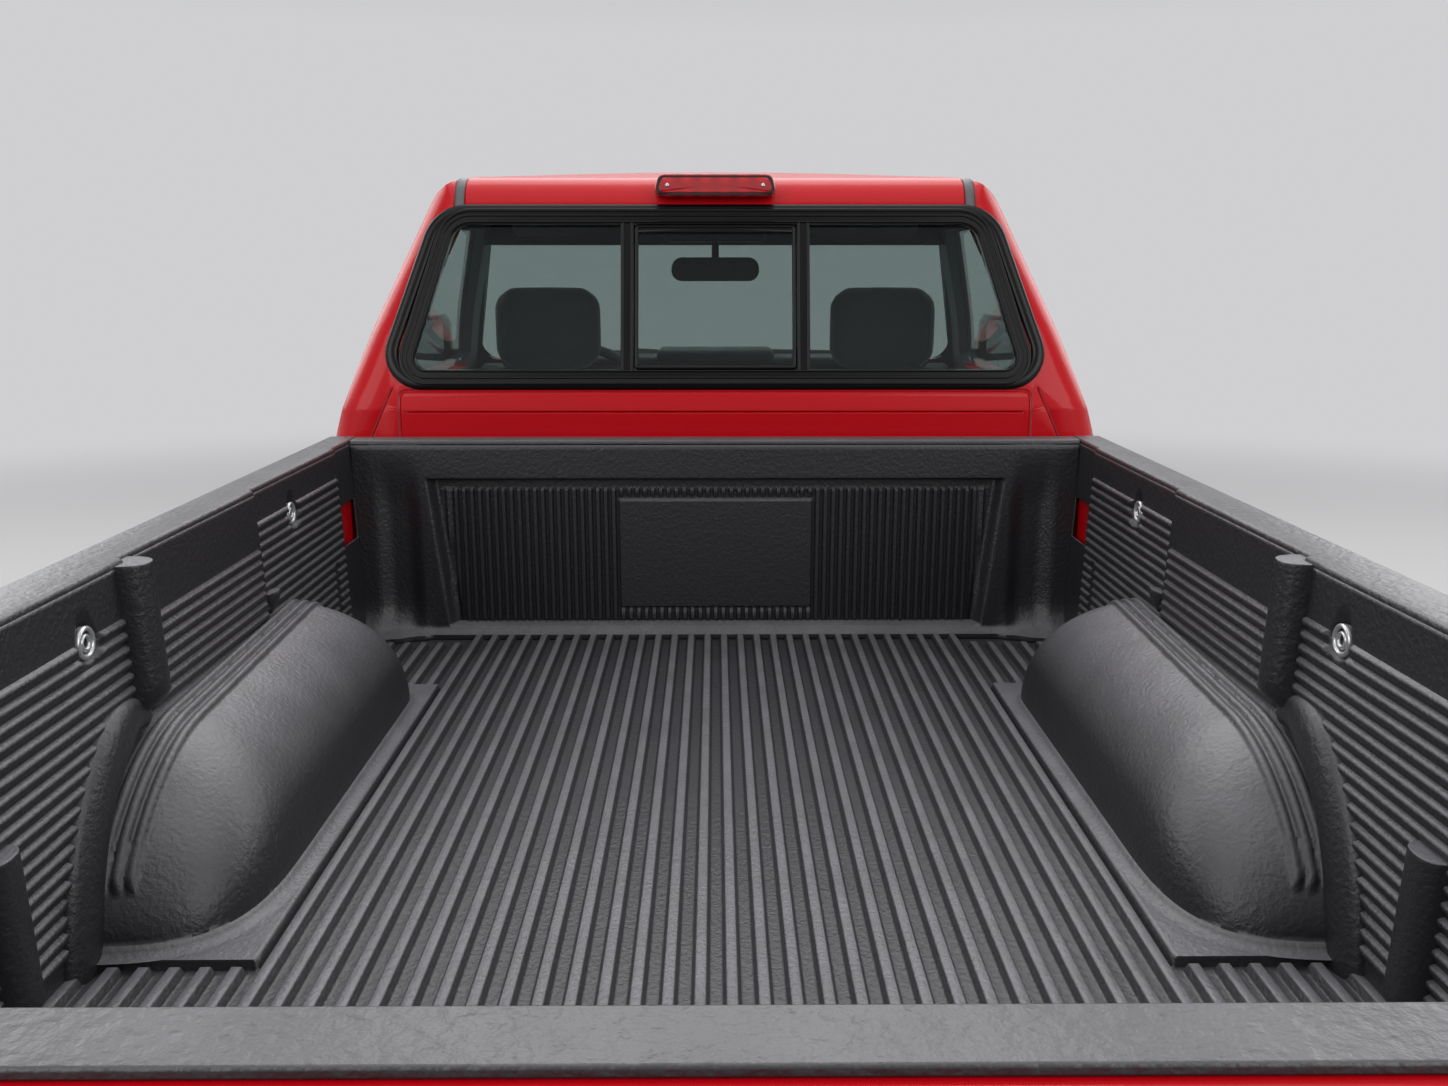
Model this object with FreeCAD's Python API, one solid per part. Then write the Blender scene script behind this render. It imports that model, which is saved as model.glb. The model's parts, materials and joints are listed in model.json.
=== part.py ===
import FreeCAD, Part
import math
import os

# Compact two-door pickup truck with a ribbed drop-in liner in its bed.
# Millimetres. +Y runs to the tail, +X to the truck's own left, +Z up from the ground.
# The origin is on the ground, midway between the two bumper faces.

V = FreeCAD.Vector

# Wheels and stance
WHEELBASE = 2624.0
FRONT_OVERHANG = 828.0
TYRE_RADIUS = 335.0
TYRE_WIDTH = 204.0
RIM_RADIUS = 194.0
HALF_TRACK = 700.0
TYRE_FACETS = 64
STUB_RADIUS = 30.0
BORE_CLEARANCE = 0.05
KINGPIN_X = 620.0
ARCH_RADIUS = 388.0

# Bed and its liner
BED_LENGTH = 1890.0
BED_TO_AXLE = 778.0
RAIL_HEIGHT = 1059.0
BED_DEPTH = 390.0
GATE_THICKNESS = 62.0
BUMPER_REACH = 104.0
RAIL_OUTER = 764.0
RAIL_TAPER = 14.0
TUB_HALF_WIDTH = 719.0
LINER_SHEET = 7.0
WALL_LEAN = 16.0
FLOOR_RIB_PITCH = 32.7
FLOOR_RIB_COUNT = 30
FLOOR_RIB_HEIGHT = 11.0
FLOOR_RIB_WIDTH = 17.0
WALL_RIB_PITCH = 24.0
WALL_RIB_HEIGHT = 9.0
HEAD_RIB_PITCH = 15.6
HUMP_HALF_GAP = 540.0
HUMP_HEIGHT = 183.0
HUMP_FOOT_SINK = 80.0
HUMP_ROUND = 125.0
HUMP_FRONT_ROUND = 120.0
HUMP_REAR_ROUND = 230.0
HUMP_REAR_SLOPE = 71.0
HOUSING_INSET = 30.0

# Cab, doors and panels
CAB_TO_BED = 92.0
CAB_LENGTH = 1317.0
SILL_BOTTOM = 300.0
FLOOR_TOP = 545.0
FLOOR_THICKNESS = 25.0
WALL = 60.0
ROOF_SKIN = 36.0
GLASS = 5.0
SEAM = 0.3
SHUT_GAP = 6.0
DOOR_RAMP_GAP = 8.0
HINGE_PIN = 5.0
HOOD_SKIN = 24.0
MIRROR_REACH = 955.0

# Places along the truck, worked out from the sizes above
REAR_OVERHANG = BED_LENGTH - BED_TO_AXLE + GATE_THICKNESS + BUMPER_REACH
LENGTH = FRONT_OVERHANG + WHEELBASE + REAR_OVERHANG
NOSE = -LENGTH / 2
TAIL = LENGTH / 2
FRONT_AXLE = NOSE + FRONT_OVERHANG
REAR_AXLE = FRONT_AXLE + WHEELBASE
HUB = TYRE_RADIUS
BED_FRONT = REAR_AXLE - BED_TO_AXLE
BED_REAR = BED_FRONT + BED_LENGTH
GATE_BACK = BED_REAR + GATE_THICKNESS
BED_FLOOR = RAIL_HEIGHT - BED_DEPTH
CAB_REAR = BED_FRONT - CAB_TO_BED
CAB_FRONT = CAB_REAR - CAB_LENGTH
STEEL_FLOOR = BED_FLOOR - FLOOR_RIB_HEIGHT - LINER_SHEET
STEEL_RAIL = RAIL_HEIGHT - LINER_SHEET
WIDE = 1200.0

# Outlines are lists of corners (u, v, corner radius), counter-clockwise.


def inset(corners, depth):
    """The outline moved inwards by depth, its corner radii following."""
    moved = []
    count = len(corners)
    for i in range(count):
        (px, py, _), (cx, cy, radius) = corners[i - 1], corners[i]
        nx, ny, _ = corners[(i + 1) % count]
        first = V(cx - px, cy - py, 0).normalize()
        second = V(nx - cx, ny - cy, 0).normalize()
        turn = first.x * second.y - first.y * second.x
        start = V(cx - first.y * depth, cy + first.x * depth, 0)
        if abs(turn) < 1e-9:
            moved.append((start.x, start.y, radius))
            continue
        end = V(cx - second.y * depth, cy + second.x * depth, 0)
        gap = end.sub(start)
        along = (gap.x * second.y - gap.y * second.x) / turn
        if turn > 0:
            kept = max(0.0, radius - depth)
        else:
            kept = radius + depth if radius else 0.0
        moved.append((start.x + first.x * along, start.y + first.y * along, kept))
    return moved


def outline_edges(corners, put):
    """Lines and tangent arcs round the corners; put places a point (u, v) in space."""
    count = len(corners)
    bends = []
    for i in range(count):
        (px, py, _), (cx, cy, radius) = corners[i - 1], corners[i]
        nx, ny, _ = corners[(i + 1) % count]
        first = V(cx - px, cy - py, 0).normalize()
        second = V(nx - cx, ny - cy, 0).normalize()
        turn = math.atan2(first.cross(second).z, first.dot(second))
        if radius <= 0 or abs(turn) < 1e-6:
            bends.append(((cx, cy), None, (cx, cy)))
            continue
        leg = radius * math.tan(abs(turn) / 2)
        side = 1 if turn > 0 else -1
        centre = V(cx - first.x * leg - side * first.y * radius,
                   cy - first.y * leg + side * first.x * radius, 0)
        middle = centre + (V(cx, cy, 0) - centre).normalize() * radius
        bends.append(((cx - first.x * leg, cy - first.y * leg), (middle.x, middle.y),
                      (cx + second.x * leg, cy + second.y * leg)))
    edges = []
    for i in range(count):
        start, middle, end = bends[i]
        if middle:
            edges.append(Part.Arc(put(*start), put(*middle), put(*end)).toShape())
        following = bends[(i + 1) % count][0]
        if math.hypot(following[0] - end[0], following[1] - end[1]) > 1e-4:
            edges.append(Part.LineSegment(put(*end), put(*following)).toShape())
    return edges


PUT = {
    "X": lambda at: lambda u, v: V(at, u, v),
    "Y": lambda at: lambda u, v: V(u, at, v),
    "Z": lambda at: lambda u, v: V(u, v, at),
}
ALONG = {"X": V(1, 0, 0), "Y": V(0, 1, 0), "Z": V(0, 0, 1)}


def slab(axis, corners, low, high):
    """An outline carried straight along X (of y, z), Y (of x, z) or Z (of x, y)."""
    wire = Part.Wire(outline_edges(corners, PUT[axis](low)))
    solid = Part.Face(wire).extrude(ALONG[axis] * (high - low))
    if solid.Volume < 0:
        solid.reverse()
    return solid


def block(x0, x1, y0, y1, z0, z1):
    return Part.makeBox(x1 - x0, y1 - y0, z1 - z0, V(x0, y0, z0))


def rod(radius, start, end):
    run = end - start
    return Part.makeCylinder(radius, run.Length, start, run)


def whole(half):
    """A right half outline, from its foot up, closed by its mirror image."""
    return half + [(-x, z, r) for x, z, r in reversed(half) if x > 0]


def flipped(shape):
    return shape.mirror(V(0, 0, 0), V(1, 0, 0))


def both(shape):
    return Part.makeCompound([shape, flipped(shape)])


def fused(shapes):
    joined = shapes[0].fuse(shapes[1:]) if len(shapes) > 1 else shapes[0]
    return joined.removeSplitter()


def export(name, shape):
    solids = [s for s in shape.Solids if s.Volume > 1.0]
    Part.makeCompound(solids).exportStep(os.path.join("parts", name + ".step"))
    print(name, len(solids), "solids", round(sum(s.Volume for s in solids) / 1e6, 2), "litres")


# The body's outer form: one cross-section all along, cut to a cab and a nose in side view

SHOULDER = RAIL_HEIGHT - 19
SECTION = [
    (798, SILL_BOTTOM, 25),
    (850, 650, 1200),
    (782, SHOULDER, 60),
    (708, 1250, 1500),
    (562, 1566, 110),
    (0, 1594, 5000),
]
SCREEN_TOP = CAB_FRONT + 590
BACK_LEAN = 122.0
BELT = RAIL_HEIGHT + 31
CAB_PROFILE = [
    (CAB_FRONT, SILL_BOTTOM, 0),
    (CAB_REAR, SILL_BOTTOM, 30),
    (CAB_REAR, BELT + 20, 60),
    (CAB_REAR - BACK_LEAN, 1560, 75),
    (CAB_REAR - 420, 1608, 900),
    (SCREEN_TOP, 1540, 130),
    (CAB_FRONT, BELT, 0),
]
CAB_CORNER = 70.0
# level z, half-width, how far forward of the cab's rear
CAB_PLAN = [
    (SILL_BOTTOM - 5, 800, 0),
    (650, 840, 0),
    (SHOULDER, 786, 0),
    (BELT + 20, 770, 0),
    (1250, 712, 38),
    (1620, 540, 136),
]


def cab_corners(depth):
    """Rounds the cab's rear pillars: level plan outlines with round rear corners, lofted."""
    wires = []
    for z, half_width, forward in CAB_PLAN:
        rear = CAB_REAR - forward + 1
        plan = [(half_width, CAB_FRONT - 50, 0), (half_width, rear, CAB_CORNER),
                (-half_width, rear, CAB_CORNER), (-half_width, CAB_FRONT - 50, 0)]
        wires.append(Part.Wire(outline_edges(inset(plan, depth), PUT["Z"](z))))
    return Part.makeLoft(wires, True, True)


def cab_form(depth, sides=None):
    """The cab's outer form, moved inwards by depth."""
    across = slab("Y", inset(whole(SECTION), depth if sides is None else sides), CAB_FRONT - 20, CAB_REAR + 20)
    along = slab("X", inset(CAB_PROFILE, depth), -WIDE, WIDE)
    return across.common(along).common(cab_corners(depth))


NOSE_PROFILE = [
    (NOSE + 40, 560, 0),
    (CAB_FRONT - DOOR_RAMP_GAP, 560, 0),
    (CAB_FRONT - DOOR_RAMP_GAP, BELT - 3, 0),
    (CAB_FRONT - 260, BELT - 16, 2000),
    (NOSE + 120, 930, 200),
    (NOSE + 52, 850, 60),
    (NOSE + 40, 640, 0),
]
NOSE_PLAN = [
    (900, CAB_FRONT, 0),
    (-900, CAB_FRONT, 0),
    (-900, NOSE + 700, 900),
    (-806, NOSE + 118, 130),
    (0, NOSE + 34, 4000),
    (806, NOSE + 118, 130),
    (900, NOSE + 700, 900),
]


def nose_form(depth):
    """The nose's outer form: the section cut to the hood line and to its rounded plan."""
    across = slab("Y", inset(whole(SECTION), depth), NOSE - 20, CAB_FRONT)
    along = slab("X", inset(NOSE_PROFILE, depth), -WIDE, WIDE)
    return across.common(along).common(slab("Z", inset(NOSE_PLAN, depth), 200, 1300))


def arch_hole(axle, radius=ARCH_RADIUS):
    """The round wheel opening, carried right across the truck."""
    return Part.makeCylinder(radius, 2 * WIDE, V(-WIDE, axle, HUB), V(1, 0, 0))


# Cab

DOOR_FRONT = CAB_FRONT + 2
DOOR_REAR = CAB_REAR - 208
DOOR_BOTTOM = SILL_BOTTOM + 95
DOOR_OUTLINE = [
    (DOOR_FRONT, DOOR_BOTTOM, 20),
    (DOOR_REAR, DOOR_BOTTOM, 60),
    (DOOR_REAR, BELT + 10, 0),
    (DOOR_REAR - 46, 1520, 55),
    (SCREEN_TOP + 62, 1520, 40),
    (DOOR_FRONT + 40, BELT + 24, 60),
    (DOOR_FRONT, BELT - 20, 20),
]
SIDE_GLASS = [
    (DOOR_FRONT + 142, BELT + 18, 25),
    (DOOR_REAR - 56, BELT + 18, 35),
    (DOOR_REAR - 92, 1474, 45),
    (SCREEN_TOP + 84, 1474, 30),
]
SCREEN = whole([(705, BELT + 28, 45), (566, 1500, 60)])
REAR_WINDOW_FOOT = 1155.0
REAR_WINDOW_HEAD = 1502.0
REAR_WINDOW = whole([(656, REAR_WINDOW_FOOT, 55), (548, REAR_WINDOW_HEAD, 75)])
WINDOW_RUBBER = 30.0
WINDOW_BAR_X = 178.0
WINDOW_BAR = 13.0


DOOR_HINGE_X = 815.0
DOOR_HINGE_Y = CAB_FRONT + 30
DOOR_HINGE_LEVELS = (480.0, 800.0)


def side_wall(depth):
    """The band of the section between the outer skin and the depth given, both sides."""
    outer = slab("Y", inset(whole(SECTION), -5), CAB_FRONT - 20, CAB_REAR + 20)
    return outer.cut(slab("Y", inset(whole(SECTION), depth), CAB_FRONT - 30, CAB_REAR + 30))


def door_hinge_arms():
    """Left door's two hinge arms and their pins, standing on the front pillar."""
    pieces = []
    for z in DOOR_HINGE_LEVELS:
        pieces.append(block(735, DOOR_HINGE_X, DOOR_HINGE_Y - 7, DOOR_HINGE_Y + 7, z - 13, z + 13))
        pieces.append(rod(HINGE_PIN, V(DOOR_HINGE_X, DOOR_HINGE_Y, z - 34), V(DOOR_HINGE_X, DOOR_HINGE_Y, z + 34)))
    return fused(pieces)


def rear_window_slab(corners):
    return slab("Y", corners, CAB_REAR - 230, CAB_REAR + 30)


PANEL_HALF = 638.0
PANEL_HEAD = 1147.0
CREASE = 1103.0
PRESSING = 2.5
DITCH_X = 518.0
DITCH_HALF = 11.0


def cab_pressings():
    """Lines pressed in the skin: the panel under the rear window, its crease, the pillar seams, the roof ditches."""
    frame = [(PANEL_HALF, 900, 0), (PANEL_HALF, PANEL_HEAD, 16), (-PANEL_HALF, PANEL_HEAD, 16), (-PANEL_HALF, 900, 0)]
    ring = rear_window_slab(frame).cut(rear_window_slab(inset(frame, 5)))
    crease = rear_window_slab([(-620, CREASE - 2, 0), (620, CREASE - 2, 0), (620, CREASE + 2, 0), (-620, CREASE + 2, 0)])
    seam = rear_window_slab([(648, 1150, 0), (695, 1046, 0), (699, 1046, 0), (652, 1150, 0)])
    ditch = block(DITCH_X - DITCH_HALF, DITCH_X + DITCH_HALF, SCREEN_TOP + 60, CAB_REAR, REAR_WINDOW_HEAD + 6, 2000)
    lines = Part.makeCompound([ring, crease, both(seam), both(ditch)])
    return cab_form(-1).cut(cab_form(PRESSING)).common(lines)


def cab_shell():
    inside = cab_form(ROOF_SKIN, WALL).common(block(-WIDE, WIDE, -3000, 3000, FLOOR_TOP, 2000))
    shell = cab_form(0).cut(inside)
    under = block(-700, 700, CAB_FRONT - 10, CAB_REAR + 10, 0, FLOOR_TOP - FLOOR_THICKNESS)
    shell = shell.cut(under)
    swing = [(y + 12, z, radius) for y, z, radius in DOOR_OUTLINE]
    upper = slab("X", swing, -WIDE, WIDE).common(block(-WIDE, WIDE, DOOR_REAR - 200, 3000, BELT, 2000))
    doorway = slab("X", inset(DOOR_OUTLINE, -SHUT_GAP), -WIDE, WIDE)
    shell = shell.cut(doorway.common(side_wall(WALL + 16)))
    shell = shell.cut(upper.common(side_wall(WALL + 16)))
    shell = shell.cut(slab("Y", SCREEN, CAB_FRONT - 30, SCREEN_TOP + 60))
    shell = shell.cut(rear_window_slab(inset(REAR_WINDOW, 6)))
    shell = shell.cut(cab_pressings())
    arms = door_hinge_arms()
    return fused([shell, arms, flipped(arms)])


def windshield():
    pane = slab("Y", inset(SCREEN, SEAM), CAB_FRONT - 30, SCREEN_TOP + 60)
    return cab_form(3).cut(cab_form(3 + GLASS)).common(pane)


def window_panes(grow):
    """The three panes of the sliding rear window: outer, middle, outer."""
    opening = inset(REAR_WINDOW, WINDOW_RUBBER + grow)
    whole_pane = rear_window_slab(opening)
    inner = WINDOW_BAR_X - WINDOW_BAR - grow
    outer = WINDOW_BAR_X + WINDOW_BAR + grow
    middle = whole_pane.common(block(-inner, inner, -500, 500, 0, 2000))
    side = whole_pane.common(block(outer, 900, -500, 500, 0, 2000))
    return Part.makeCompound([middle, side, flipped(side)])


def rear_window_frame():
    ring = rear_window_slab(REAR_WINDOW)
    proud = cab_form(-6).cut(cab_form(-SEAM)).common(ring)
    seated = cab_form(-SEAM).cut(cab_form(22)).common(rear_window_slab(inset(REAR_WINDOW, 6 + SEAM)))
    return fused([proud, seated]).cut(window_panes(0))


def cab_glass():
    """The windshield and the three panes behind the seats."""
    rear = cab_form(5).cut(cab_form(5 + GLASS)).common(window_panes(SEAM))
    return Part.makeCompound([windshield(), rear])


def door(thick=WALL, frame=38.0):
    """One door: a thick lower box and a slimmer window frame above the belt."""
    outline = slab("X", DOOR_OUTLINE, 300, WIDE).common(cab_form(0))
    low = outline.common(side_wall(thick)).common(block(0, WIDE, -3000, 3000, 0, BELT - 4))
    high = outline.common(side_wall(frame)).common(block(0, WIDE, -3000, 3000, BELT - 4, 2000))
    panel = fused([low, high]).cut(slab("X", SIDE_GLASS, 0, WIDE))
    for z in DOOR_HINGE_LEVELS:
        panel = panel.cut(block(700, DOOR_HINGE_X + 9, DOOR_FRONT - 5, DOOR_HINGE_Y + 12, z - 17, z + 17))
        panel = panel.cut(rod(HINGE_PIN + BORE_CLEARANCE, V(DOOR_HINGE_X, DOOR_HINGE_Y, z - 35),
                              V(DOOR_HINGE_X, DOOR_HINGE_Y, z + 35)))
    grip = slab("X", [(DOOR_REAR - 200, 930, 10), (DOOR_REAR - 60, 930, 10),
                      (DOOR_REAR - 60, 985, 10), (DOOR_REAR - 200, 985, 10)], 700, 900)
    recess = cab_form(-1).cut(cab_form(14)).common(grip)
    bar = slab("X", [(DOOR_REAR - 205, 958, 8), (DOOR_REAR - 55, 958, 8), (DOOR_REAR - 55, 982, 8),
                     (DOOR_REAR - 205, 982, 8)], 700, 900)
    handle = cab_form(-2).cut(cab_form(6)).common(bar)
    return fused([panel.cut(recess), handle])


def door_glass():
    pane = slab("X", inset(SIDE_GLASS, SEAM), 0, WIDE)
    outer = slab("Y", inset(whole(SECTION), 10), CAB_FRONT, CAB_REAR)
    return outer.cut(slab("Y", inset(whole(SECTION), 10 + GLASS), CAB_FRONT, CAB_REAR)).common(pane)


def door_mirror():
    """A rounded head on a short arm from the door's front window corner."""
    y = DOOR_FRONT + 160
    z = BELT + 100
    head = slab("Y", [(MIRROR_REACH - 185, z - 70, 25), (MIRROR_REACH, z - 60, 40),
                      (MIRROR_REACH, z + 62, 40), (MIRROR_REACH - 185, z + 70, 35)], y - 60, y + 28)
    head = head.common(slab("Z", [(MIRROR_REACH - 186, y - 5, 0), (MIRROR_REACH - 140, y - 62, 30),
                                  (MIRROR_REACH - 20, y - 44, 40), (MIRROR_REACH + 1, y + 29, 0),
                                  (MIRROR_REACH - 186, y + 29, 0)], 1000, 1500))
    head = head.cut(slab("Y", [(MIRROR_REACH - 173, z - 56, 18), (MIRROR_REACH - 12, z - 48, 30),
                               (MIRROR_REACH - 12, z + 50, 30), (MIRROR_REACH - 173, z + 58, 25)],
                         y + 16, y + 40))
    arm = block(690, MIRROR_REACH - 150, y - 60, y - 12, z - 65, z - 38)
    arm = arm.cut(cab_form(-SEAM))
    return fused([head, arm])


# Nose

HOOD_REAR = CAB_FRONT - 42
HOOD_HINGE_Y = HOOD_REAR + 5
HOOD_HINGE_Z = BELT - 50
HOOD_HINGE_X = 620.0
HOOD_OUTLINE = [
    (700, HOOD_REAR, 20),
    (-700, HOOD_REAR, 20),
    (-668, NOSE + 124, 70),
    (0, NOSE + 66, 4000),
    (668, NOSE + 124, 70),
]
HOOD_EDGE = 868.0
LAMP_FOOT = 700.0
LAMP_HEAD = 848.0
GRILLE_HALF = 395.0
LAMP_OUTER = 705.0
FENDER_SKIN = 6.0
FENDER_LIP = 34.0
LAMP_BACK = NOSE + 160


def hood_slab(grow):
    return slab("Z", inset(HOOD_OUTLINE, -grow), HOOD_EDGE, 1300)


def hood():
    """The hood skin with a stiffening rim below its edge."""
    skin = nose_form(0).cut(nose_form(HOOD_SKIN)).common(hood_slab(0))
    hollow = nose_form(7).common(slab("Z", inset(HOOD_OUTLINE, 70), HOOD_EDGE, 1300))
    skin = skin.cut(hollow.cut(hood_ribs()))
    arm = block(HOOD_HINGE_X - 10, HOOD_HINGE_X + 10, HOOD_REAR - 40, HOOD_HINGE_Y + 11, HOOD_HINGE_Z - 11, BELT)
    arm = arm.common(nose_form(5)).cut(rod(6 + BORE_CLEARANCE, V(500, HOOD_HINGE_Y, HOOD_HINGE_Z),
                                           V(700, HOOD_HINGE_Y, HOOD_HINGE_Z)))
    arm = arm.cut(block(0, WIDE, HOOD_REAR, 0, BELT - 30, 1300))
    return fused([skin, arm, flipped(arm)])


def hood_ribs():
    """A cross of two slanting stiffeners under the hood."""
    arm = slab("Z", [(40, NOSE + 60, 0), (110, NOSE + 60, 0), (520, CAB_FRONT, 0), (450, CAB_FRONT, 0)], 800, 1300)
    return both(arm)


def lamp_slab(x0, x1, z0=LAMP_FOOT, z1=LAMP_HEAD, radius=14):
    return slab("Y", [(x0, z0, radius), (x1, z0, radius), (x1, z1, radius), (x0, z1, radius)],
                NOSE - 20, LAMP_BACK)


def headlamps():
    body = nose_form(4).cut(nose_form(70)).common(lamp_slab(GRILLE_HALF + 8, LAMP_OUTER))
    return Part.makeCompound([both(body), corner_lamps()])


def corner_lamps():
    cover = slab("X", [(NOSE, LAMP_FOOT, 8), (NOSE + 330, LAMP_FOOT + 40, 8),
                       (NOSE + 330, LAMP_HEAD, 8), (NOSE, LAMP_HEAD, 8)], LAMP_OUTER + SEAM, 900)
    return both(nose_form(4).cut(nose_form(40)).common(cover))


def fenders():
    """Front wings: a thin skin, its top ledge, and a flange at the wheel opening."""
    skin = nose_form(0).cut(nose_form(FENDER_SKIN))
    low = slab("Y", inset(whole(SECTION), 0), NOSE + 260, CAB_FRONT - DOOR_RAMP_GAP)
    low = low.cut(slab("Y", inset(whole(SECTION), FENDER_SKIN), NOSE, CAB_FRONT))
    low = low.common(slab("Z", NOSE_PLAN, 330, 570)).common(block(-WIDE, WIDE, NOSE + 330, 0, 330, 561))
    wing = fused([skin, low]).common(block(500, WIDE, -3000, CAB_FRONT - DOOR_RAMP_GAP, 0, 1300))
    rim = Part.makeCylinder(ARCH_RADIUS + 30, 300, V(600, FRONT_AXLE, HUB), V(1, 0, 0))
    rim = rim.common(slab("Y", inset(whole(SECTION), -9), NOSE + 100, CAB_FRONT - DOOR_RAMP_GAP))
    rim = rim.cut(slab("Y", inset(whole(SECTION), FENDER_LIP), NOSE, CAB_FRONT))
    rim = rim.common(block(600, WIDE, NOSE + 100, CAB_FRONT - DOOR_RAMP_GAP, 340, 900))
    wing = fused([wing, rim]).cut(arch_hole(FRONT_AXLE))
    wing = wing.cut(hood_slab(SHUT_GAP))
    wing = wing.cut(block(0, WIDE, NOSE - 10, NOSE + 330 + SEAM, 0, LAMP_HEAD + 6))
    wing = wing.cut(block(0, 690 + SEAM, NOSE - 10, NOSE + 330 + SEAM, 0, LAMP_HEAD + 30 + SEAM))
    wing = wing.cut(block(0, WIDE, NOSE - 10, FRONT_AXLE, 0, BUMPER_TOP + SHUT_GAP))
    inner = slab("Y", inset(whole(SECTION), FENDER_SKIN), NOSE, CAB_FRONT)
    wing = wing.cut(inner.common(block(0, WIDE, NOSE, CAB_FRONT, 540, 570)))
    wing = wing.cut(inner.common(block(0, WIDE, CAB_FRONT - 40, CAB_FRONT, 0, BELT - 60)))
    wing = wing.cut(block(0, 720, HOOD_REAR - SHUT_GAP, CAB_FRONT, 0, 1300))
    return both(wing)


def nose_panel():
    """The painted panel round the lamps and the grille, and the bar above them."""
    ring = nose_form(0).cut(nose_form(34)).common(block(-WIDE, WIDE, NOSE - 10, NOSE + 330, 600, LAMP_HEAD + 30))
    ring = ring.cut(both(lamp_slab(GRILLE_HALF + 8 - SEAM, LAMP_OUTER + SEAM)))
    ring = ring.cut(both(lamp_slab(LAMP_OUTER + SEAM / 2, WIDE, LAMP_FOOT - SEAM, LAMP_HEAD + 6, 0)))
    ring = ring.cut(both(block(LAMP_OUTER, WIDE, NOSE, NOSE + 340, LAMP_FOOT - SEAM, 1300)))
    ring = ring.cut(both(block(690, WIDE, NOSE, NOSE + 340, LAMP_HEAD + 6, 1300)))
    ring = ring.cut(lamp_slab(-GRILLE_HALF, GRILLE_HALF))
    ring = ring.cut(hood_slab(SHUT_GAP))
    return ring.Solids[0] if len(ring.Solids) == 1 else fused([s for s in ring.Solids if s.Volume > 1000])


def grille():
    """Frame, centre post and level bars with open air between them."""
    depth = nose_form(6).cut(nose_form(44))
    opening = lamp_slab(-GRILLE_HALF + SEAM, GRILLE_HALF - SEAM, LAMP_FOOT + SEAM, LAMP_HEAD - SEAM)
    frame = opening.cut(lamp_slab(-GRILLE_HALF + 22, GRILLE_HALF - 22, LAMP_FOOT + 20, LAMP_HEAD - 20, 8))
    bars = [frame, block(-24, 24, NOSE, LAMP_BACK, LAMP_FOOT + 5, LAMP_HEAD - 5)]
    step = (LAMP_HEAD - LAMP_FOOT - 40) / 5
    for i in range(1, 5):
        z = LAMP_FOOT + 20 + i * step
        bars.append(block(-GRILLE_HALF + 10, GRILLE_HALF - 10, NOSE, LAMP_BACK, z - 4, z + 4))
    return fused([bar.common(depth) for bar in bars])


BUMPER_FOOT = 440.0
BUMPER_TOP = 592.0
BUMPER_PLAN = [
    (840, NOSE + 412, 0),
    (-840, NOSE + 412, 0),
    (-840, NOSE + 220, 60),
    (-770, NOSE + 62, 110),
    (0, NOSE, 5200),
    (770, NOSE + 62, 110),
    (840, NOSE + 220, 60),
]
BUMPER_HOLLOW = [
    (805, NOSE + 430, 0),
    (-805, NOSE + 430, 0),
    (-805, NOSE + 240, 40),
    (-712, NOSE + 100, 60),
    (-600, NOSE + 62, 0),
    (600, NOSE + 62, 0),
    (712, NOSE + 100, 60),
    (805, NOSE + 240, 40),
]


def front_bumper():
    """A curved bar with an air slot, the dark valance below it, and two brackets to the frame."""
    bar = slab("Z", BUMPER_PLAN, BUMPER_FOOT, BUMPER_TOP)
    lead = V(0, NOSE - bar.BoundBox.YMin, 0)
    bar.translate(lead)
    bar = bar.cut(slab("Z", BUMPER_HOLLOW, BUMPER_FOOT - 10, BUMPER_TOP + 10))
    bar = bar.cut(slab("Y", [(-330, 462, 14), (330, 462, 14), (330, 506, 14), (-330, 506, 14)], NOSE - 20, NOSE + 90))
    edge = [e for e in bar.Edges if abs(e.BoundBox.ZMin - BUMPER_TOP) < 0.1 and abs(e.BoundBox.ZMax - BUMPER_TOP) < 0.1
            and e.BoundBox.YMin < NOSE + 56 and e.BoundBox.XLength > 200]
    bar = bar.makeChamfer(14, edge)
    valance = slab("Z", inset(BUMPER_PLAN, 26), 345, BUMPER_FOOT - SEAM)
    valance.translate(lead)
    under = slab("Z", inset(BUMPER_PLAN, 44), 335, BUMPER_FOOT + 10)
    under.translate(lead)
    valance = valance.cut(under).common(block(-WIDE, WIDE, NOSE, NOSE + 300, 0, 1000))
    bracket = block(RAIL_IN, RAIL_OUT, NOSE + 62 + SEAM, FRAME_START - SEAM, 445, 510)
    return Part.makeCompound([bar, valance, both(bracket)])


def engine_bay():
    """Inner wings, radiator support and radiator block in front of the engine."""
    apron = block(500, 520, NOSE + 230, CAB_FRONT - 20, 560, 850)
    shelf = block(520, 800, NOSE + 345, CAB_FRONT - 20, 826, 850).common(nose_form(FENDER_SKIN + SEAM))
    apron = fused([apron, shelf]).cut(arch_hole(FRONT_AXLE, 350))
    support = block(-520, 520, NOSE + 190, NOSE + 231, 515 + SEAM, 850)
    x = HOOD_HINGE_X
    post = block(x + 11, x + 31, HOOD_HINGE_Y - 12, HOOD_HINGE_Y + 12, 840, HOOD_HINGE_Z + 12)
    pin = rod(6, V(x - 12, HOOD_HINGE_Y, HOOD_HINGE_Z), V(x + 25, HOOD_HINGE_Y, HOOD_HINGE_Z))
    hinge = fused([post, pin])
    return Part.makeCompound([fused([apron, flipped(apron), support, hinge, flipped(hinge)]), cowl()])


def cowl():
    """The vented panel between hood and windshield."""
    back = CAB_FRONT - SEAM
    side = [(back - 38, 960, 0), (back, 960, 0), (back, BELT - 34, 0), (back - 30, BELT - 60, 10), (back - 38, BELT - 66, 6)]
    return slab("X", side, -590, 590)


# Bed

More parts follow.
